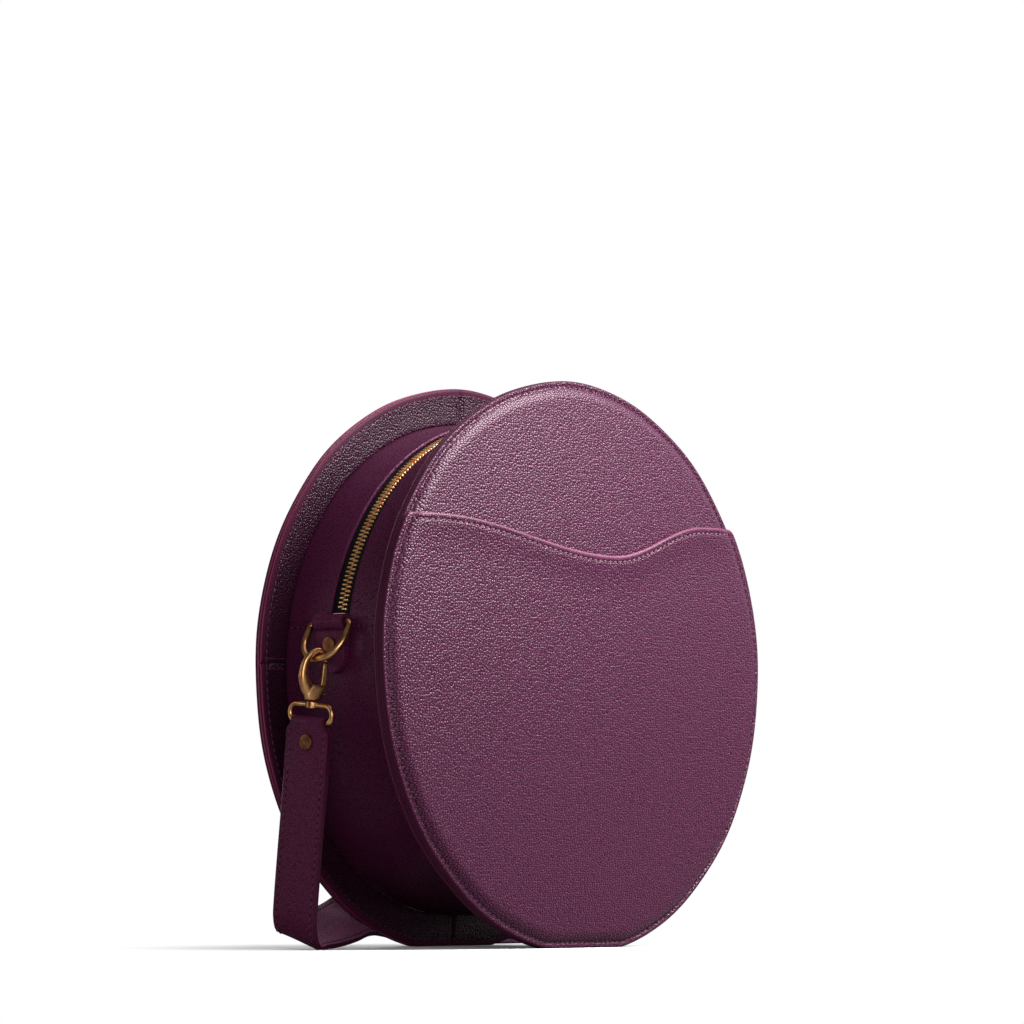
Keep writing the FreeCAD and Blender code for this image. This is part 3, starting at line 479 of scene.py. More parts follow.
def padding(name, side, replaced):
    """Foam disc between the bag's inside and the crown."""
    build = Build()
    build.grid([ring_of(r, FOAM_FOOT, side) for r in FOAM_RADII])
    build.grid([ring_of(r, dome(r), side) for r in FOAM_RADII[::-1]])
    last = FOAM_RADII[-1]
    build.grid([ring_of(last, h, side) for h in (FOAM_FOOT, dome(last))])
    build.piece(name, [FOAM], "bag", replaced)


front_panel = round_panel("front_panel_leather", FRONT, ("front_panel",))
back_panel = round_panel("back_panel_leather", BACK, ("back_panel",))
padding("front_foam", FRONT, ("front_padding",))
padding("back_foam", BACK, ("back_padding",))

# Slip pocket, its mouth a wave that is lowest right of the middle
MOUTH_HIGH, MOUTH_DIP = 63.2, 14.1
MOUTH_LEFT, MOUTH_DIP_X, MOUTH_RIGHT = -92.0, 18.0, 84.0
# its right end stands a little higher than its left, and its corners are rounded
MOUTH_LIFT, MOUTH_LIFT_X, CORNER_ROUND = 1.7, 108.0, 2.5
# the mouth stands off the panel, fully up to a distance from the middle and over a height below its edge
GAPE, GAPE_X, GAPE_HEIGHT = 1.1, 85, 10.0
# a row of thread runs below the edge, where the mouth gapes by this share
STITCH_BELOW, STITCH_GAPE = 2.7, 0.93
# the pocket's right corner stands a little past the panel, from a radius outwards
CORNER_DEG, CORNER_SPREAD, CORNER_OUT, CORNER_FROM = 27.0, 15.0, 1.6, 110
# a place from which every point of the pocket's edge is seen
HEART = np.array([0.0, -15.0])
# points along the mouth, along the rest of the edge and along each row of thread
MOUTH_POINTS, EDGE_POINTS, ROW_POINTS = 200, 280, 240
# distances in from the edge at which the leather's face is drawn, then shares of the rest, to the heart
POCKET_STEPS = [0, 0.2, 0.45, 0.8, 1.2, 1.5, 1.8, 2.1, 2.4, 2.7, 3, 3.3, 3.6, 4, 4.5, 5, 5.5, 6, 6.5, 7,
                7.5, 8, 9, 10, 12, 14, 17, 20, 25]
POCKET_SHARES = np.linspace(0.93, 0.004, 20)
# how far the face rolls down at its edge, and the steps that the edge and the pressed margin reach to
ROLLED = [0.75, 0.42, 0.2, 0.05]
EDGE_TO, PRESSED_TO = 2, 6
# the cut edge bulges a little, at a height above the pocket's inner face, which lies just off the panel
BULGE, BULGE_HEIGHT, INNER_LIFT = 0.05, 0.45, 0.05
# times that the search for the edge is halved
HALVINGS = 50
# how high the thread along the rim goes, and how far to either side the thread along the mouth
RIM_ROW_END, MOUTH_ROW_END = math.asin(61 / 122.5), 104


def mouth(x):
    """Height of the mouth's edge above the panel's middle."""
    x = np.asarray(x, float)
    left = np.clip((x - MOUTH_LEFT) / (MOUTH_DIP_X - MOUTH_LEFT), 0, 1)
    right = np.clip((MOUTH_RIGHT - x) / (MOUTH_RIGHT - MOUTH_DIP_X), 0, 1)
    share = np.where(x < MOUTH_DIP_X, left, right)
    lift = MOUTH_LIFT * smoothstep(MOUTH_DIP_X, MOUTH_LIFT_X, x)
    return MOUTH_HIGH + lift - MOUTH_DIP * (1 - np.cos(math.pi * share)) / 2


def gaping(x):
    """How far the mouth stands off the panel, which it meets again at the rim."""
    return GAPE * smoothstep(PANEL_R, GAPE_X, np.abs(x))


def pocket_reach(ways):
    """Distance from the heart to the pocket's edge, found by halving."""
    near, far = np.zeros(len(ways)), np.full(len(ways), 2 * PANEL_R)
    for _ in range(HALVINGS):
        half = (near + far) / 2
        spot = HEART + ways * half[:, None]
        past_rim = np.hypot(*spot.T) - PANEL_R + CORNER_ROUND
        past_mouth = spot[:, 1] - mouth(spot[:, 0]) + CORNER_ROUND
        inside = np.hypot(np.maximum(past_rim, 0), np.maximum(past_mouth, 0)) <= CORNER_ROUND
        near, far = np.where(inside, half, near), np.where(inside, far, half)
    return near


def pocket():
    """Leather over the lower front, sewn in at the rim and open along its mouth."""
    build = Build()
    corner = math.atan2(MOUTH_HIGH - HEART[1], math.sqrt(PANEL_R**2 - MOUTH_HIGH**2))
    top = np.linspace(corner, math.pi - corner, MOUTH_POINTS, endpoint=False)
    rest = np.linspace(math.pi - corner, 2 * math.pi + corner, EDGE_POINTS, endpoint=False)
    turn = np.concatenate([top, rest])
    ways = np.stack([np.cos(turn), np.sin(turn)], 1)
    reach = pocket_reach(ways)
    share = [1 - s / reach for s in POCKET_STEPS]
    share += [share[-1] * k for k in POCKET_SHARES]

    def layer(height, fraction, out=0.0):
        x, up = (HEART + ways * (reach * fraction + out)[:, None]).T
        corner_turn = (np.degrees(np.arctan2(up, x)) - CORNER_DEG) / CORNER_SPREAD
        x = x + CORNER_OUT * np.exp(-corner_turn**2) * smoothstep(CORNER_FROM, PANEL_R, np.hypot(x, up))
        below = mouth(x) - up
        gape = gaping(x) * np.exp(-((below / GAPE_HEIGHT) ** 2))
        sewn = groove(below - STITCH_BELOW)
        return lay(x, up, height + gape + sewn + dome(np.hypot(x, up)), FRONT)

    outside = POCKET_BASE + POCKET_LEATHER
    inside = POCKET_BASE + INNER_LIFT
    drops = ROLLED + [0.0] * (len(share) - len(ROLLED))
    rows = [layer(outside - drop, f) for drop, f in zip(drops, share)]
    # the mouth's edge takes the painted highlight, the rest of the pocket's edge the dark edge colour
    edge_paint = [1] * len(top) + [4] * len(rest)
    build.grid(rows[:EDGE_TO + 1], edge_paint)
    build.grid(rows[EDGE_TO:PRESSED_TO + 1], [7] * len(top) + [0] * len(rest))
    build.grid(rows[PRESSED_TO:])
    whole = np.ones(len(turn))
    bulge = layer(POCKET_BASE + BULGE_HEIGHT, whole, BULGE)
    build.grid([rows[0], bulge, layer(inside, whole)], edge_paint)
    build.grid([layer(inside, f) for f in (whole, share[10], share[24], share[-1])])

    # thread along the rim below the mouth, and along the mouth
    lower = np.linspace(math.pi - RIM_ROW_END, 2 * math.pi + RIM_ROW_END, ROW_POINTS)
    rim_row = lay(SEAM_R * np.cos(lower), SEAM_R * np.sin(lower), outside - GROOVE, FRONT)
    stitch_row(build, rim_row, (0, FRONT, 0), 2)
    x = np.linspace(-MOUTH_ROW_END, MOUTH_ROW_END, ROW_POINTS)
    up = mouth(x) - STITCH_BELOW
    mouth_row = lay(x, up, outside + STITCH_GAPE * gaping(x) - GROOVE + dome(np.hypot(x, up)), FRONT)
    stitch_row(build, mouth_row, (0, FRONT, 0), 5)
    used = [PANEL, LIT_POCKET_EDGE, THREAD, HOLE_SHADE, EDGE, LIT_MOUTH_THREAD, HOLE_SHADE, BURNISHED]
    build.piece("pocket_leather", used, "bag", ("front_pocket",))


pocket()

# Rings of leather that face the rims towards the gusset, sewn from quarters
# radius and thickness round a quarter's section
FACING_PROFILE = [(109.1, 0.0), (109.1, 1.5), (109.35, 1.85), (109.9, 2.0), (112, 2.0), (115, 2.0),
                  (118, 2.0), (121, 2.0), (122.4, 1.95), (123.5, 2.0), (124.4, 1.95), (124.85, 1.7),
                  (125.05, 1.2), (125.0, 0.5), (124.6, 0.15), (124.0, 0.0)]
# a burnished margin along the rim from one radius, and a redder line at its edge from another
BURNISHED_R, RAW_R, RAW_THICK = 122.3, 124.8, 1.3
FACING_PAINT = [4 if r > RAW_R and thick > RAW_THICK else 1 if r > BURNISHED_R else 0
                for r, thick in FACING_PROFILE]
# the leather dips where two quarters meet
QUARTER_GAP, SEAM_SINK, SEAM_WIDTH = 0.12 / PANEL_R, 0.55, 0.9
# points thicker than this dip
DIPS_FROM = 1.0
# turns near a quarter's end at which its dip is drawn, where they give way to even steps, and the steps
SEAM_TURNS, EVEN_FROM, QUARTER_POINTS = np.array([0, 0.002, 0.005, 0.01]), 0.016, 70
# the face is a little wavy, round the bag and outwards, from one radius and fully from another
WAVY, WAVES_ROUND, WAVES_OUT = 0.15, 3.1, 0.4
WAVY_FROM, WAVY_FULL, FACE_THICK = 110, 116, 1.9
# row of thread along the rim, and rows either side of each seam
FACING_ROW_R, SEAM_ROW_OUT, SEAM_ROW_R = 121.8, 2.2, np.linspace(110.5, 121.0, 6)


def facing(name, side, replaced):
    """Four quarters of leather, with thread along the rim and either side of each seam."""
    build = Build()
    for quarter in range(4):
        start = quarter * math.pi / 2 + QUARTER_GAP
        end = (quarter + 1) * math.pi / 2 - QUARTER_GAP
        middle = np.linspace(start + EVEN_FROM, end - EVEN_FROM, QUARTER_POINTS)
        rows = []
        for angle in [*(start + SEAM_TURNS), *middle, *(end - SEAM_TURNS[::-1])]:
            close = min(angle - start, end - angle) * CROWN_R
            sunk = SEAM_SINK * math.exp(-((close / SEAM_WIDTH) ** 2))
            row = []
            for r, thick in FACING_PROFILE:
                height = -max(thick - sunk * (thick > DIPS_FROM), 0.0)
                if thick > FACE_THICK:
                    wave = math.sin(WAVES_ROUND * angle + r * WAVES_OUT)
                    height += WAVY * wave * smoothstep(WAVY_FROM, WAVY_FULL, r)
                row.append(lay(r * math.cos(angle), r * math.sin(angle), height, side))
            rows.append(row)
        build.tube(np.array(rows), FACING_PAINT)
    rim_row = ring_of(FACING_ROW_R, -FACING_LEATHER, side)
    stitch_row(build, rim_row, (0, -side, 0), 2, closed=True)
    for quarter in range(4):
        angle = quarter * math.pi / 2
        for out in (-SEAM_ROW_OUT, SEAM_ROW_OUT):
            x = SEAM_ROW_R * math.cos(angle) - out * math.sin(angle)
            up = SEAM_ROW_R * math.sin(angle) + out * math.cos(angle)
            seam_row = lay(x, up, -FACING_LEATHER, side)
            stitch_row(build, seam_row, (0, -side, 0), 2, pitch=2.6, length=1.9, radius=0.26)
    # the needle's holes here take the dark edge colour as their painted shade
    build.piece(name, [SHADED_FACING, EDGE, SHADED_THREAD, EDGE, RAW], "bag", replaced)


facing("front_facing_leather", FRONT, ("front_facing",))
facing("back_facing_leather", BACK, ("back_facing",))

# Gusset and zip, wrapped round the bag's axis
GUSSET_FRONT, GUSSET_BACK = MIDDLE_Y - SEAT + 0.05, MIDDLE_Y + SEAT - 0.05
# the gusset's edges dip towards the rims
EDGE_DROP = 0.5
# a row of thread runs beside each join and ends short of the rims
JOIN_ROW, JOIN_ROW_IN = 2.6, 2
# the zip strips' fold: distances below the gusset's face and back from the fold's edge
FOLD = [(0.15, 0.6), (0.5, 0.15), (1.1, 0.0), (1.7, 0.15), (2.0, 0.6)]
# the strips lie a little lower than the lower gusset, and their face ends before the fold
STRIP_LOW, FACE_END = 0.1, 1.2
# small turns that keep the strips and the tape off the lower gusset
STRIP_GAP, TAPE_END_GAP = 0.001, 0.002
# steps round the bag of the lower gusset, the strips and the tape
GUSSET_STEPS, STRIP_STEPS, TAPE_STEPS = 220, 180, 160
# the tape's thickness, its reach from the zip's middle, and half the gap between its two edges
TAPE_THICK, TAPE_REACH, TAPE_GAP = 0.8, 14.0, 0.4


def hoop(angle, r, y):
    """A place on the gusset: an angle above +X, a radius and a depth."""
    angle, r, y = np.broadcast_arrays(angle, r, y)
    return lean(np.stack([r * np.cos(angle), y, CENTRE_Z + r * np.sin(angle)], -1))


def band(build, start, end, steps, section):
    """A closed section of (radius, depth) pairs carried round from one angle to another."""
    rows = [[hoop(a, r, y) for r, y in section] for a in np.linspace(start, end, steps)]
    build.tube(np.array(rows))


def lower_gusset():
    """Leather band from one zip end under the bag to the other."""
    build = Build()
    start, end = math.pi - JOIN, 2 * math.pi + JOIN
    depths = np.linspace(GUSSET_FRONT, GUSSET_BACK, 25)
    middle = (GUSSET_FRONT + GUSSET_BACK) / 2
    outer = [(GUSSET_R - EDGE_DROP * ((y - middle) / SEAT) ** 6, y) for y in depths]
    inner = [(GUSSET_R - GUSSET_LEATHER, y) for y in depths[::-6]]
    band(build, start, end, GUSSET_STEPS, outer + inner)
    # thread across the joins with the zip strips
    for angle in (start + JOIN_ROW / GUSSET_R, end - JOIN_ROW / GUSSET_R):
        across = np.linspace(GUSSET_FRONT + JOIN_ROW_IN, GUSSET_BACK - JOIN_ROW_IN, 30)
        row = hoop(angle, GUSSET_R, across)
        stitch_row(build, row, (math.cos(angle), 0, math.sin(angle)), 1)
    build.piece("lower_gusset_leather", [GUSSET, THREAD, HOLE_SHADE], "bag", ("lower_gusset",))


def zip_strip(name, sewn, fold, inward, replaced):
    """Upper gusset strip from the edge sewn to the rim to the edge folded under along the zip."""
    build = Build()
    depths = np.linspace(sewn, fold - inward * FACE_END, 14)
    outer = [(GUSSET_R - STRIP_LOW, y) for y in depths]
    turned = [(GUSSET_R - below, fold - inward * back) for below, back in FOLD]
    inner = [(GUSSET_R - GUSSET_LEATHER, y) for y in depths[::-4]]
    start = JOIN + STRIP_GAP
    band(build, start, math.pi - start, STRIP_STEPS, outer + turned + inner)
    build.piece(name, [GUSSET], "bag", replaced)


def tape(name, outward, replaced):
    """Half of the zip's woven tape."""
    build = Build()
    near, far = ZIP_Y + outward * TAPE_GAP, ZIP_Y + outward * TAPE_REACH
    low = TAPE_R - TAPE_THICK
    section = [(TAPE_R, y) for y in np.linspace(far, near, 8)] + [(low, near), (low, far)]
    start = JOIN + TAPE_END_GAP
    band(build, start, math.pi - start, TAPE_STEPS, section)
    build.piece(name, [TAPE], "bag", replaced)


lower_gusset()
zip_strip("front_zip_strip", GUSSET_FRONT, ZIP_Y - ZIP_SLOT / 2, 1, ("zip_gusset_front",))
zip_strip("back_zip_strip", GUSSET_BACK, ZIP_Y + ZIP_SLOT / 2, -1, ("zip_gusset_back",))
tape("front_zip_tape", FRONT, ("zip_tape_front",))
tape("back_zip_tape", BACK, ("zip_tape_back",))

# Zip teeth, half a pitch apart from one tape to the other
# along the tape, from the right join to the first tooth and from the last tooth to the left join
FIRST_IN, LAST_IN = 26.0, 4.4
FIRST_TOOTH, LAST_TOOTH = JOIN + FIRST_IN / TAPE_R, math.pi - JOIN - LAST_IN / TAPE_R
TOOTH_PITCH = 2.0
# a tooth from its foot to its head: distance past the zip's middle, half thickness, height
TOOTH = [(-2.5, 0.3, 0.7), (-2.3, 0.38, 0.95), (-0.6, 0.38, 1.0), (0.0, 0.3, 0.95), (0.3, 0.24, 0.8)]
# a tooth's height above the tape at its foot, its bevel's height and its top's share of its thickness
TOOTH_SEAT, TOOTH_BEVEL, TOOTH_TOP = 0.05, 0.25, 0.7


def teeth(name, heads, first, replaced):
    """One row of cast teeth, their heads to one side: a foot that grips the tape and a narrower head."""
    build = Build()
    angle = FIRST_TOOTH + first / TAPE_R
    while angle < LAST_TOOTH:
        rows = []
        for past, half, top in TOOTH:
            bevel, narrow = top - TOOTH_BEVEL, half * TOOTH_TOP
            corners = [(-half, TOOTH_SEAT), (-half, bevel), (-narrow, top), (narrow, top), (half, bevel),
                       (half, TOOTH_SEAT)]
            y = ZIP_Y + heads * past
            rows.append([hoop(angle + along / TAPE_R, TAPE_R + up, y) for along, up in corners])
        build.tube(np.array(rows))
        angle += TOOTH_PITCH / TAPE_R
    build.piece(name, [ZIP_BRASS], "bag", replaced, smooth_deg=35.0)


teeth("front_zip_teeth", FRONT, 0.0, ("zip_teeth_front",))
teeth("back_zip_teeth", BACK, TOOTH_PITCH / 2, ("zip_teeth_back",))


# Cast and turned pieces keep the CAD's form with their edges rounded
def one_skin(made, voxel):
    """All of an object's shells under one fine skin."""
    remesh = made.modifiers.new("skin", "REMESH")
    remesh.mode, remesh.voxel_size = "VOXEL", voxel * MM


def soften(made, passes):
    """An object's changes made part of its mesh, with its edges softened."""
    smooth = made.modifiers.new("soften", "SMOOTH")
    smooth.factor, smooth.iterations = 0.5, passes
    data = bpy.data.meshes.new_from_object(made.evaluated_get(bpy.context.evaluated_depsgraph_get()))
    made.modifiers.clear()
    made.data = data
    data.polygons.foreach_set("use_smooth", [True] * len(data.polygons))


def rounded(node, used, body, voxel=0.22, passes=6):
    """A CAD piece under a fine skin with soft edges, as a casting has."""
    made = bpy.data.objects.new(f"{node}_metal", nodes[node].data.copy())
    bpy.context.scene.collection.objects.link(made)
    one_skin(made, voxel)
    soften(made, passes)
    made.data.materials.clear()
    made.data.materials.append(used)
    made.data.polygons.foreach_set("material_index", [0] * len(made.data.polygons))
    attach(made, body)
    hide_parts(node)


# Clasps
LEAN_DEG = 6.0
# the middles of the two clasps at rest
HANG = {"left": np.array([-121.303, 6.9, 106.197]), "right": np.array([121.303, 6.48, 106.153])}
# across, up, half width and half depth along the hook's arm, from the block round to the nose
ARM = [(-0.4, 2.0, 2.6, 2.1), (-2.9, 5.2, 2.7, 2.1), (-4.6, 9.2, 2.2, 2.0), (-4.75, 13.2, 1.85, 1.8),
       (-3.9, 17.1, 1.5, 1.6), (-1.6, 20.1, 1.35, 1.5), (1.2, 21.4, 1.25, 1.45), (3.5, 20.4, 1.2, 1.4),
       (4.7, 18.6, 1.2, 1.35), (4.8, 16.6, 1.15, 1.25)]
# middle, height, half width and half depth up the block that holds the swivel and the gate
BLOCK = [(0.0, -0.05, 2.7, 1.7), (0.0, 0.5, 3.3, 2.1), (0.4, 2.6, 4.1, 2.25), (1.2, 4.6, 4.5, 2.25),
         (2.3, 6.1, 3.9, 2.15), (2.5, 6.7, 3.3, 1.7)]
HOOK_TURN_DEG = 25.0
# the gate's slot in the block: its inner and outer side, half width, foot and top
SLOT_IN, SLOT_OUT, SLOT_HALF, SLOT_LOW, SLOT_HIGH = 2.1, 9.0, 1.2, 2.6, 12.0
HOOK_VOXEL, HOOK_PASSES = 0.2, 8


def clasp_frame(side):
    """The clasp's own axes at rest and its middle, on either side of the bag."""
    a = math.radians(LEAN_DEG)
    way = 1 if side == "left" else -1
    axes = [[way, 0, 0], [0, way * math.cos(a), -math.sin(a)], [0, way * math.sin(a), math.cos(a)]]
    return np.array(axes), HANG[side]


def hook(side):
    """Cast hook: a block for the swivel and the gate, and an arm that arches over the ring."""
    axes, middle = clasp_frame(side)
    t = math.radians(-HOOK_TURN_DEG)
    axes = axes @ np.array([[math.cos(t), -math.sin(t), 0], [math.sin(t), math.cos(t), 0], [0, 0, 1]])
    build = Build()
    knots = through(ARM, 6)
    path = np.stack([knots[:, 0], np.zeros(len(knots)), knots[:, 1]], 1)
    arm = swept(path, (0, 1, 0), squarish(20, 0.8), stretch=knots[:, 3], deepen=knots[:, 2])
    build.tube(arm @ axes.T + middle)
    block = [[(x + a * wide, b * deep, z) for a, b in squarish(24, 0.5)]
             for x, z, wide, deep in through(BLOCK, 3)]
    build.tube(np.array(block) @ axes.T + middle)
    made = build.piece(f"{side}_hook_metal", [BRASS], f"{side}_hook", (f"{side}_hook",))
    box = Build()
    plan = [(SLOT_IN, -SLOT_HALF), (SLOT_OUT, -SLOT_HALF), (SLOT_OUT, SLOT_HALF), (SLOT_IN, SLOT_HALF)]
    corners = [[(x, y, z) for x, y in plan] for z in (SLOT_LOW, SLOT_HIGH)]
    box.tube(np.array(corners) @ axes.T + middle)
    slot = box.piece(f"{side}_slot", [BRASS], None)
    # arm and block joined, the slot cut, and the whole under one skin
    one_skin(made, HOOK_VOXEL)
    bite = made.modifiers.new("slot", "BOOLEAN")
    bite.operation, bite.object = "DIFFERENCE", slot
    one_skin(made, HOOK_VOXEL)
    soften(made, HOOK_PASSES)
    bpy.data.objects.remove(slot)


CLASP_PIECES = [("gate", "gate", BRASS), ("ring", "ring", BRASS), ("swivel_eye", "strap_end", BRASS),
                ("strap_rivet", "strap_end", RIVET), ("tab_rivet", "bag", RIVET)]
for side in SIDES:
    hook(side)
    for node, body, used in CLASP_PIECES:
        owner = body if body == "bag" else f"{side}_{body}"
        rounded(f"{side}_{node}", used, owner)
for node in ("zip_slider", "zip_pull"):
    rounded(node, ZIP_BRASS, node, voxel=0.2, passes=4)
for side in SIDES:
    rounded(f"{side}_tab", STRAP, "bag", voxel=0.25, passes=5)

# Strap
HALF_STRAP, HALF_LEATHER = STRAP_WIDTH / 2, STRAP_LEATHER / 2
# rows of thread: their distance from the edge, their channel's depth and half its width
STITCH_IN, CHANNEL, CHANNEL_HALF = 2.4, 0.18, 0.7
# which face of a strap's section the lining is on
TOP, BOTTOM = -1, 0
# a leg's start is thicker, over this length
SWELL_RUN = 30.0
# thread lies this far down in the strap's face, and less far in that of the strap ends
THREAD_SEAT, END_SEAT = 0.15, 0.1


def strap_section():
    """Two layers sewn together: a shallow channel under each row of thread and a line along each edge."""
    half, thick = HALF_STRAP, HALF_LEATHER
    inset = half - STITCH_IN
    right_face = [inset - 2.5, inset - CHANNEL_HALF, inset, inset + CHANNEL_HALF, half - 1.2, half - 0.5]
    face = [-a for a in reversed(right_face)] + [0] + right_face
    top = [(a, thick - (CHANNEL if abs(a) == inset else 0.0)) for a in face]
    right = [(half - 0.12, thick - 0.2), (half, thick * 0.6), (half - 0.02, 0.25), (half - 0.3, 0.0),
             (half - 0.02, -0.25), (half, -thick * 0.6), (half - 0.12, -thick + 0.2)]
    bottom = [(a, -b) for a, b in reversed(top)]
    left = [(-a, -b) for a, b in right]
    edge = [1] * (len(right) + 1)
    paint = [TOP] * (len(top) - 1) + edge + [BOTTOM] * (len(top) - 1) + edge
    return top + right + bottom + left, paint


STRAP_SECTION, STRAP_PAINT = strap_section()


def strap_run(name, path, across, body, replaced, lined, swell=0.0):
    """A length of strap with its four rows of thread, lined on one face, thicker at its start by a share."""
    build = Build()
    across, out = square_to(path, unit(across))
    deep = 1 + swell * (1 - smoothstep(0, SWELL_RUN, run_along(path)))
    paint = [4 if used == lined else max(used, 0) for used in STRAP_PAINT]
    build.tube(swept(path, across, STRAP_SECTION, deepen=deep), paint)
    depth = (HALF_LEATHER * deep - THREAD_SEAT)[:, None]
    for sign in (-1, 1):
        for face in (-1, 1):
            line = path + across * sign * (HALF_STRAP - STITCH_IN) + out * face * depth
            stitch_row(build, line, out * face, 2, sink=0.0)
    return build.piece(name, [STRAP, EDGE, THREAD, HOLE_SHADE, LIT_LINING], body, replaced)


# Strap legs and hank
# the strap stands on its edge behind the bag, folded in runs between two places
UP, EDGE_Z = (0, 0, 1), HALF_STRAP + 0.2
HANK_Y, HANK_NEAR, HANK_RUN = 53.85, 34.0, 106.0
HANK_PITCH, HANK_RUNS = 6.7, 7
HANK_LAST = HANK_Y + HANK_PITCH * (HANK_RUNS - 1)
RUN_STEPS, BEND_STEPS = 24, 16
# each leg's middle line from the strap end to the hank, with the direction across the strap
LEFT_ROUTE = [
    ((-121.303, 10.135, 75.416), (0, 0.9945, 0.1045)),
    ((-121.7, 13.2, 46), (0, 0.99, 0.1)),
    ((-121.6, 15.8, 22), (0, 0.99, 0.13)),
    ((-121.0, 17.0, 11.5), (0, 0.98, 0.2)),
    ((-117.5, 18.2, 5.0), (-0.05, 0.95, 0.32)),
    ((-110.0, 20.5, 5.6), (-0.15, 0.92, 0.38)),
    ((-97.0, 25.5, 7.4), (-0.3, 0.84, 0.45)),
    ((-80.0, 32.7, 9.9), (-0.41, 0.75, 0.5)),
    ((-61.5, 42.5, 12.5), (-0.36, 0.74, 0.56)),
    ((-44.0, 48.5, 15.5), (-0.22, 0.52, 0.82)),
    ((-24.0, 52.6, 15.6), (-0.08, 0.2, 0.97)),
    ((0, HANK_Y, EDGE_Z), UP),
]
RIGHT_ROUTE = [
    ((121.303, 9.715, 75.373), (0, 0.9945, 0.1045)),
    ((122.5, 14.5, 56), (0.1, 0.95, 0.25)),
    ((124.5, 26.0, 38), (0.12, 0.82, 0.55)),
    ((125.0, 44.0, 24), (0.1, 0.5, 0.86)),
    ((124.0, 64.0, 16), (0.05, 0.2, 0.97)),
    ((121.0, 79.0, EDGE_Z + 0.4), (0, 0.05, 1)),
    ((114.0, 89.5, EDGE_Z), UP),
    ((106.0, HANK_LAST - 0.7, EDGE_Z), UP),
    ((HANK_RUN - HANK_PITCH, HANK_LAST, EDGE_Z), UP),
]
STRAIGHT, LEG_STEPS = 5.0, 10
# the strap end is folded double, and a leg starts nearly as thick
END_LAYER = 1.4
LEG_SWELL = END_LAYER * 2 / STRAP_LEATHER - 1.03


def leg(name, route, replaced, side, lined, ahead):
    """A strap leg, straight where it leaves the strap end and where it meets the hank."""
    places, turns = [np.array(column, float) for column in zip(*route)]
    rise = clasp_frame(side)[0][:, 2] * STRAIGHT
    run = np.array([ahead * STRAIGHT, 0, 0])
    first, last = places[0], places[-1]
    places = np.vstack([first + rise, first, first - rise, places[1:-1], last - run, last, last + run])
    turns = np.vstack([turns[:1]] * 3 + [turns[1:-1]] + [turns[-1:]] * 3)
    kept = slice(LEG_STEPS // 2, -LEG_STEPS)
    path, across = through(places, LEG_STEPS)[kept], through(turns, LEG_STEPS)[kept]
    made = strap_run(name, path, across, None, replaced, lined, LEG_SWELL)
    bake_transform(made)


def hank():
    """The rest of the strap, folded to and fro on its edge behind the bag."""
    path = []
    bend = HANK_PITCH / 2
    x, y = 0.0, HANK_Y
    for run in range(HANK_RUNS - 1):
        sign, end = (1, HANK_RUN) if run % 2 == 0 else (-1, HANK_NEAR)
        path += [(px, y, EDGE_Z) for px in np.linspace(x, end, RUN_STEPS, endpoint=False)]
        path += [(end + sign * bend * math.sin(t), y + bend - bend * math.cos(t), EDGE_Z)
                 for t in np.linspace(0, math.pi, BEND_STEPS, endpoint=False)]
        x, y = end, y + HANK_PITCH
    path += [(px, y, EDGE_Z) for px in np.linspace(x, HANK_RUN - HANK_PITCH, RUN_STEPS + 1)]
    strap_run("strap_hank_leather", np.array(path), UP, "bag", ("strap_hank",), TOP)


leg("left_leg_leather", LEFT_ROUTE, ("left_strap_leg",), "left", TOP, 1)
leg("right_leg_leather", RIGHT_ROUTE, ("right_strap_leg",), "right", BOTTOM, -1)
hank()

# Strap ends, folded round the eyes
# height of the eye's lower bar and of the fold's foot, from the clasp's middle
EYE_LOW, FOLD_FOOT = -9.45, -30.95
# the fold's bend round the bar, how far past a half turn it goes, and half its width there
FOLD_R, FOLD_PAST, FOLD_HALF = 2.1, 0.3, 9.3
# the front layer below the bend: how far it stands out from its place, and its height
FOLD_LINE = [(0.0, FOLD_FOOT), (0.0, EYE_LOW - 14), (0.05, EYE_LOW - 8), (0.5, EYE_LOW - 4)]
# height above the bar where the fold starts to widen, and the height over which it does
WIDENS_ABOVE, WIDENS_OVER = 0.5, 5.0
# section of one layer: shares of its half width and of its half thickness, with its edges rounded
LAYER = [(-1, -0.75), (-1, 0.75), (-0.97, 1), (0.97, 1), (1, 0.75), (1, -0.75), (0.97, -1), (-0.97, -1)]
LAYER_PAINT = [1, 1, 0, 1, 1, 1, 0, 1]


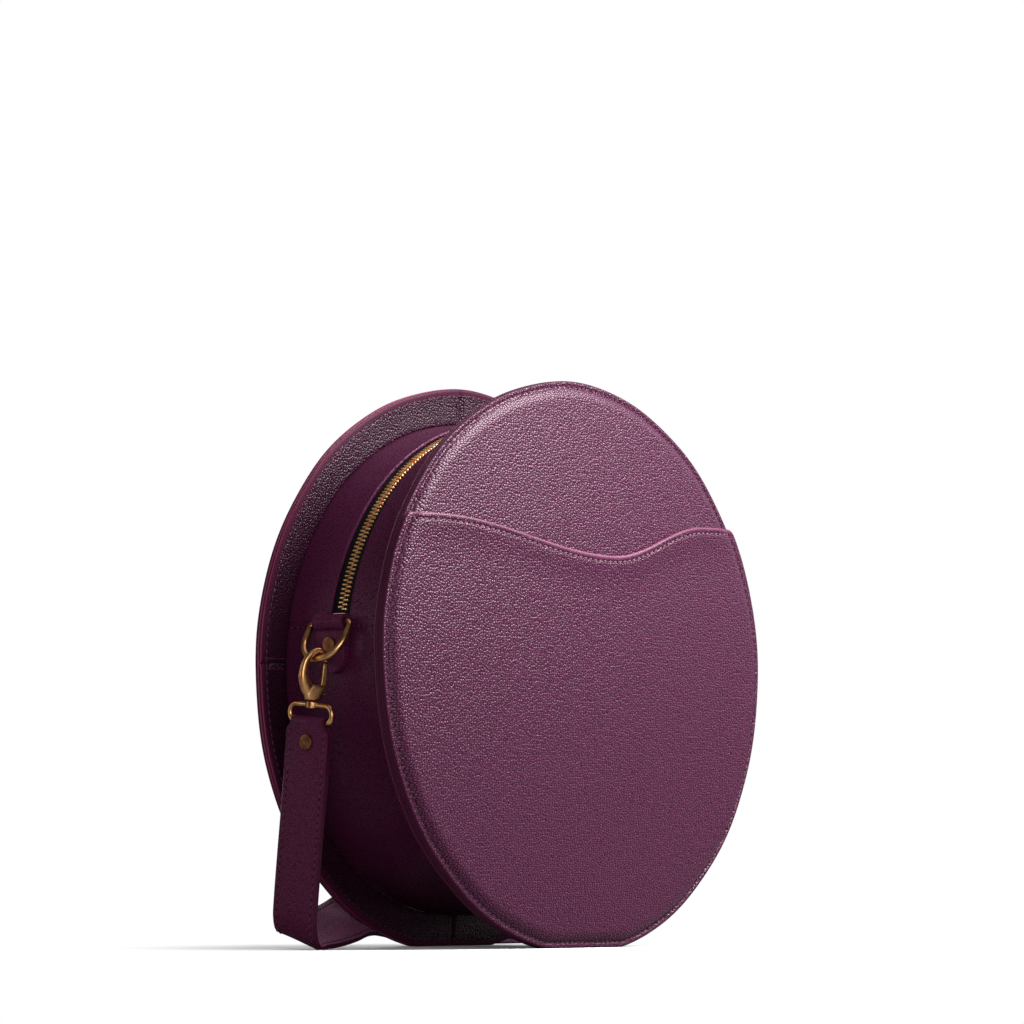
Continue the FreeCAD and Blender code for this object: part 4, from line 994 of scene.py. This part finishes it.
def strap_end(side):
    """End of the strap: narrowed, folded round the eye, with thread along its edges."""
    build = Build()
    axes, middle = clasp_frame(side)
    half = END_LAYER / 2
    loop = [(FOLD_R * math.cos(t), EYE_LOW + FOLD_R * math.sin(t))
            for t in np.linspace(-FOLD_PAST, math.pi + FOLD_PAST, 26)]
    front = through([*[(half + out, z) for out, z in FOLD_LINE], loop[0]], 6)
    rear = np.array([(-x, z) for x, z in front[::-1]])
    line = np.vstack([front[:-1], loop, rear[1:]])
    path = np.stack([line[:, 0], np.zeros(len(line)), line[:, 1]], 1)
    widened = smoothstep(0, WIDENS_OVER, EYE_LOW + WIDENS_ABOVE - line[:, 1])
    width = FOLD_HALF + (HALF_STRAP - FOLD_HALF) * widened
    rows = swept(path, (0, 1, 0), [(a, b * half) for a, b in LAYER], stretch=width)
    build.tube(rows @ axes.T + middle, LAYER_PAINT)
    for part in (slice(0, len(front) - 4), slice(len(front) + len(loop) + 3, len(path))):
        for sign in (-1, 1):
            edge = path[part] + np.array([0, 1, 0]) * sign * (width[part] - STITCH_IN)[:, None]
            face = np.where(edge[:, :1] > 0, 1.0, -1.0) * np.array([[1.0, 0, 0]])
            stitch_row(build, (edge + face * (half - END_SEAT)) @ axes.T + middle, face @ axes.T, 2)
    build.piece(f"{side}_strap_end_leather", [STRAP, EDGE, THREAD, HOLE_SHADE], f"{side}_strap_end",
                (f"{side}_strap_end",))


for side in SIDES:
    strap_end(side)

# Small metal that stays as it is in the CAD
for node, used in (("zip_stops", ZIP_BRASS), ("left_gate_pin", BRASS), ("right_gate_pin", BRASS)):
    nodes[node].data.materials.clear()
    nodes[node].data.materials.append(used)

# Floor, light and camera
# the white room's light on the bag, and as much of it as the bag's gloss shows
ROOM_LIGHT, ROOM_GLOSS = 0.28, 0.1
# the floor's white as it is seen, and as it lights the bag
FLOOR_SEEN, FLOOR_GIVEN, FLOOR_SIZE, FLOOR_ROUGH = 0.92, 0.16, 30.0, 0.8
# where the bag's shade lies, the distances over which the floor fades to white, and its least share of it
SHADE_MIDDLE, SHADE_FROM, SHADE_TO, SHADE_WHITE = (-0.05, 0.01, 0.0), 0.06, 0.14, 0.04
# name, place, target, size in metres and power in watts
LIGHTS = [
    ("softbox", (0.68, -0.98, 1.2), (0, 0, 0.13), 1.0, 16.0),
    ("glint", (0.58, -1.49, 0.22), (0, 0, 0.13), 0.35, 1.4),
    ("above", (0.24, -0.42, 0.62), (0, 0, 0.17), 0.5, 12.2),
    ("ceiling", (0.2, -0.1, 1.5), (0, 0, 0.15), 1.2, 3.5),
    ("right", (1.2, -0.3, 0.65), (0, 0, 0.15), 1.0, 3.5),
    ("left", (-0.95, -0.9, 0.22), (0, 0, 0.1), 0.7, 6.0),
    ("kicker", (-1.0, 0.9, 0.4), (0, 0, 0.12), 0.6, 1.1),
    ("behind", (0.5, 1.4, 0.5), (0, 0, 0.13), 1.2, 15.0),
]
# the lens in pixels of the picture, the picture's width, and the sensor's width in millimetres
FOCAL_PX, PICTURE_PX, SENSOR = 5677.0, 1024.0, 36.0
CLIP_NEAR, CLIP_FAR = 0.1, 100.0
CAMERA_PLACE, CAMERA_YAW_DEG, CAMERA_PITCH_DEG = (-1.8738, -1.6652, 0.0412), 48.361, 3.438


def facing_way(direction):
    """Turn of a light or camera that looks in a direction."""
    return direction.to_track_quat("-Z", "Y").to_euler()


def room():
    """White room, bright to the eye and dimmer as a light."""
    world = bpy.data.worlds.new("studio")
    bpy.context.scene.world = world
    world.use_nodes = True
    tree = world.node_tree
    tree.nodes.clear()
    ray = add(tree, "ShaderNodeLightPath").outputs
    dim = add(tree, "ShaderNodeMapRange",
              {"Value": ray["Is Glossy Ray"], "To Min": ROOM_LIGHT, "To Max": ROOM_GLOSS})
    given = add(tree, "ShaderNodeBackground", {"Color": grey(1.0), "Strength": dim.outputs[0]})
    white = add(tree, "ShaderNodeBackground", {"Color": grey(1.0), "Strength": 1.0})
    both = add(tree, "ShaderNodeMixShader",
               {0: ray["Is Camera Ray"], 1: given.outputs[0], 2: white.outputs[0]})
    add(tree, "ShaderNodeOutputWorld", {"Surface": both.outputs[0]})


def pale_floor():
    """Pale floor that fades into the white room away from the bag."""
    bpy.ops.mesh.primitive_plane_add(size=FLOOR_SIZE, location=(0, 0, 0))
    floor = bpy.context.object
    floor.name = "floor"
    made = bpy.data.materials.new("pale_floor")
    made.use_nodes = True
    tree = made.node_tree
    shader = tree.nodes["Principled BSDF"]
    shader.inputs["Roughness"].default_value = FLOOR_ROUGH
    seen = add(tree, "ShaderNodeLightPath").outputs["Is Camera Ray"]
    tone = add(tree, "ShaderNodeMix", {0: seen, 6: grey(FLOOR_GIVEN), 7: grey(FLOOR_SEEN)}, data_type="RGBA")
    tree.links.new(tone.outputs[2], shader.inputs["Base Color"])
    place = add(tree, "ShaderNodeTexCoord").outputs["Object"]
    far = add(tree, "ShaderNodeVectorMath", {0: place, 1: SHADE_MIDDLE}, operation="DISTANCE")
    fade = add(tree, "ShaderNodeMapRange",
               {"Value": far.outputs["Value"], "From Min": SHADE_FROM, "From Max": SHADE_TO,
                "To Min": SHADE_WHITE}, interpolation_type="SMOOTHSTEP")
    share = add(tree, "ShaderNodeMath", {0: fade.outputs[0], 1: seen}, operation="MULTIPLY")
    glow = add(tree, "ShaderNodeEmission", {"Color": grey(1.0), "Strength": 1.0})
    mixed = add(tree, "ShaderNodeMixShader",
                {0: share.outputs[0], 1: shader.outputs[0], 2: glow.outputs[0]})
    tree.links.new(mixed.outputs[0], tree.nodes["Material Output"].inputs["Surface"])
    floor.data.materials.append(made)


def area_light(name, place, target, size, power):
    """Square light that faces a target."""
    data = bpy.data.lights.new(name, "AREA")
    data.shape, data.size, data.energy = "SQUARE", size, power
    made = bpy.data.objects.new(name, data)
    bpy.context.scene.collection.objects.link(made)
    made.location = place
    made.rotation_euler = facing_way(Vector(target) - Vector(place))


def viewpoint():
    """Camera low at the bag's front left."""
    lens = bpy.data.cameras.new("camera")
    lens.sensor_width = SENSOR
    lens.lens = FOCAL_PX / PICTURE_PX * SENSOR
    lens.clip_start, lens.clip_end = CLIP_NEAR, CLIP_FAR
    camera = bpy.data.objects.new("camera", lens)
    bpy.context.scene.collection.objects.link(camera)
    yaw, pitch = math.radians(CAMERA_YAW_DEG), math.radians(CAMERA_PITCH_DEG)
    forward = (math.cos(pitch) * math.sin(yaw), math.cos(pitch) * math.cos(yaw), math.sin(pitch))
    camera.location = CAMERA_PLACE
    camera.rotation_euler = facing_way(Vector(forward))
    bpy.context.scene.camera = camera


bpy.context.scene.view_settings.view_transform = "Standard"
room()
pale_floor()
for light in LIGHTS:
    area_light(*light)
viewpoint()
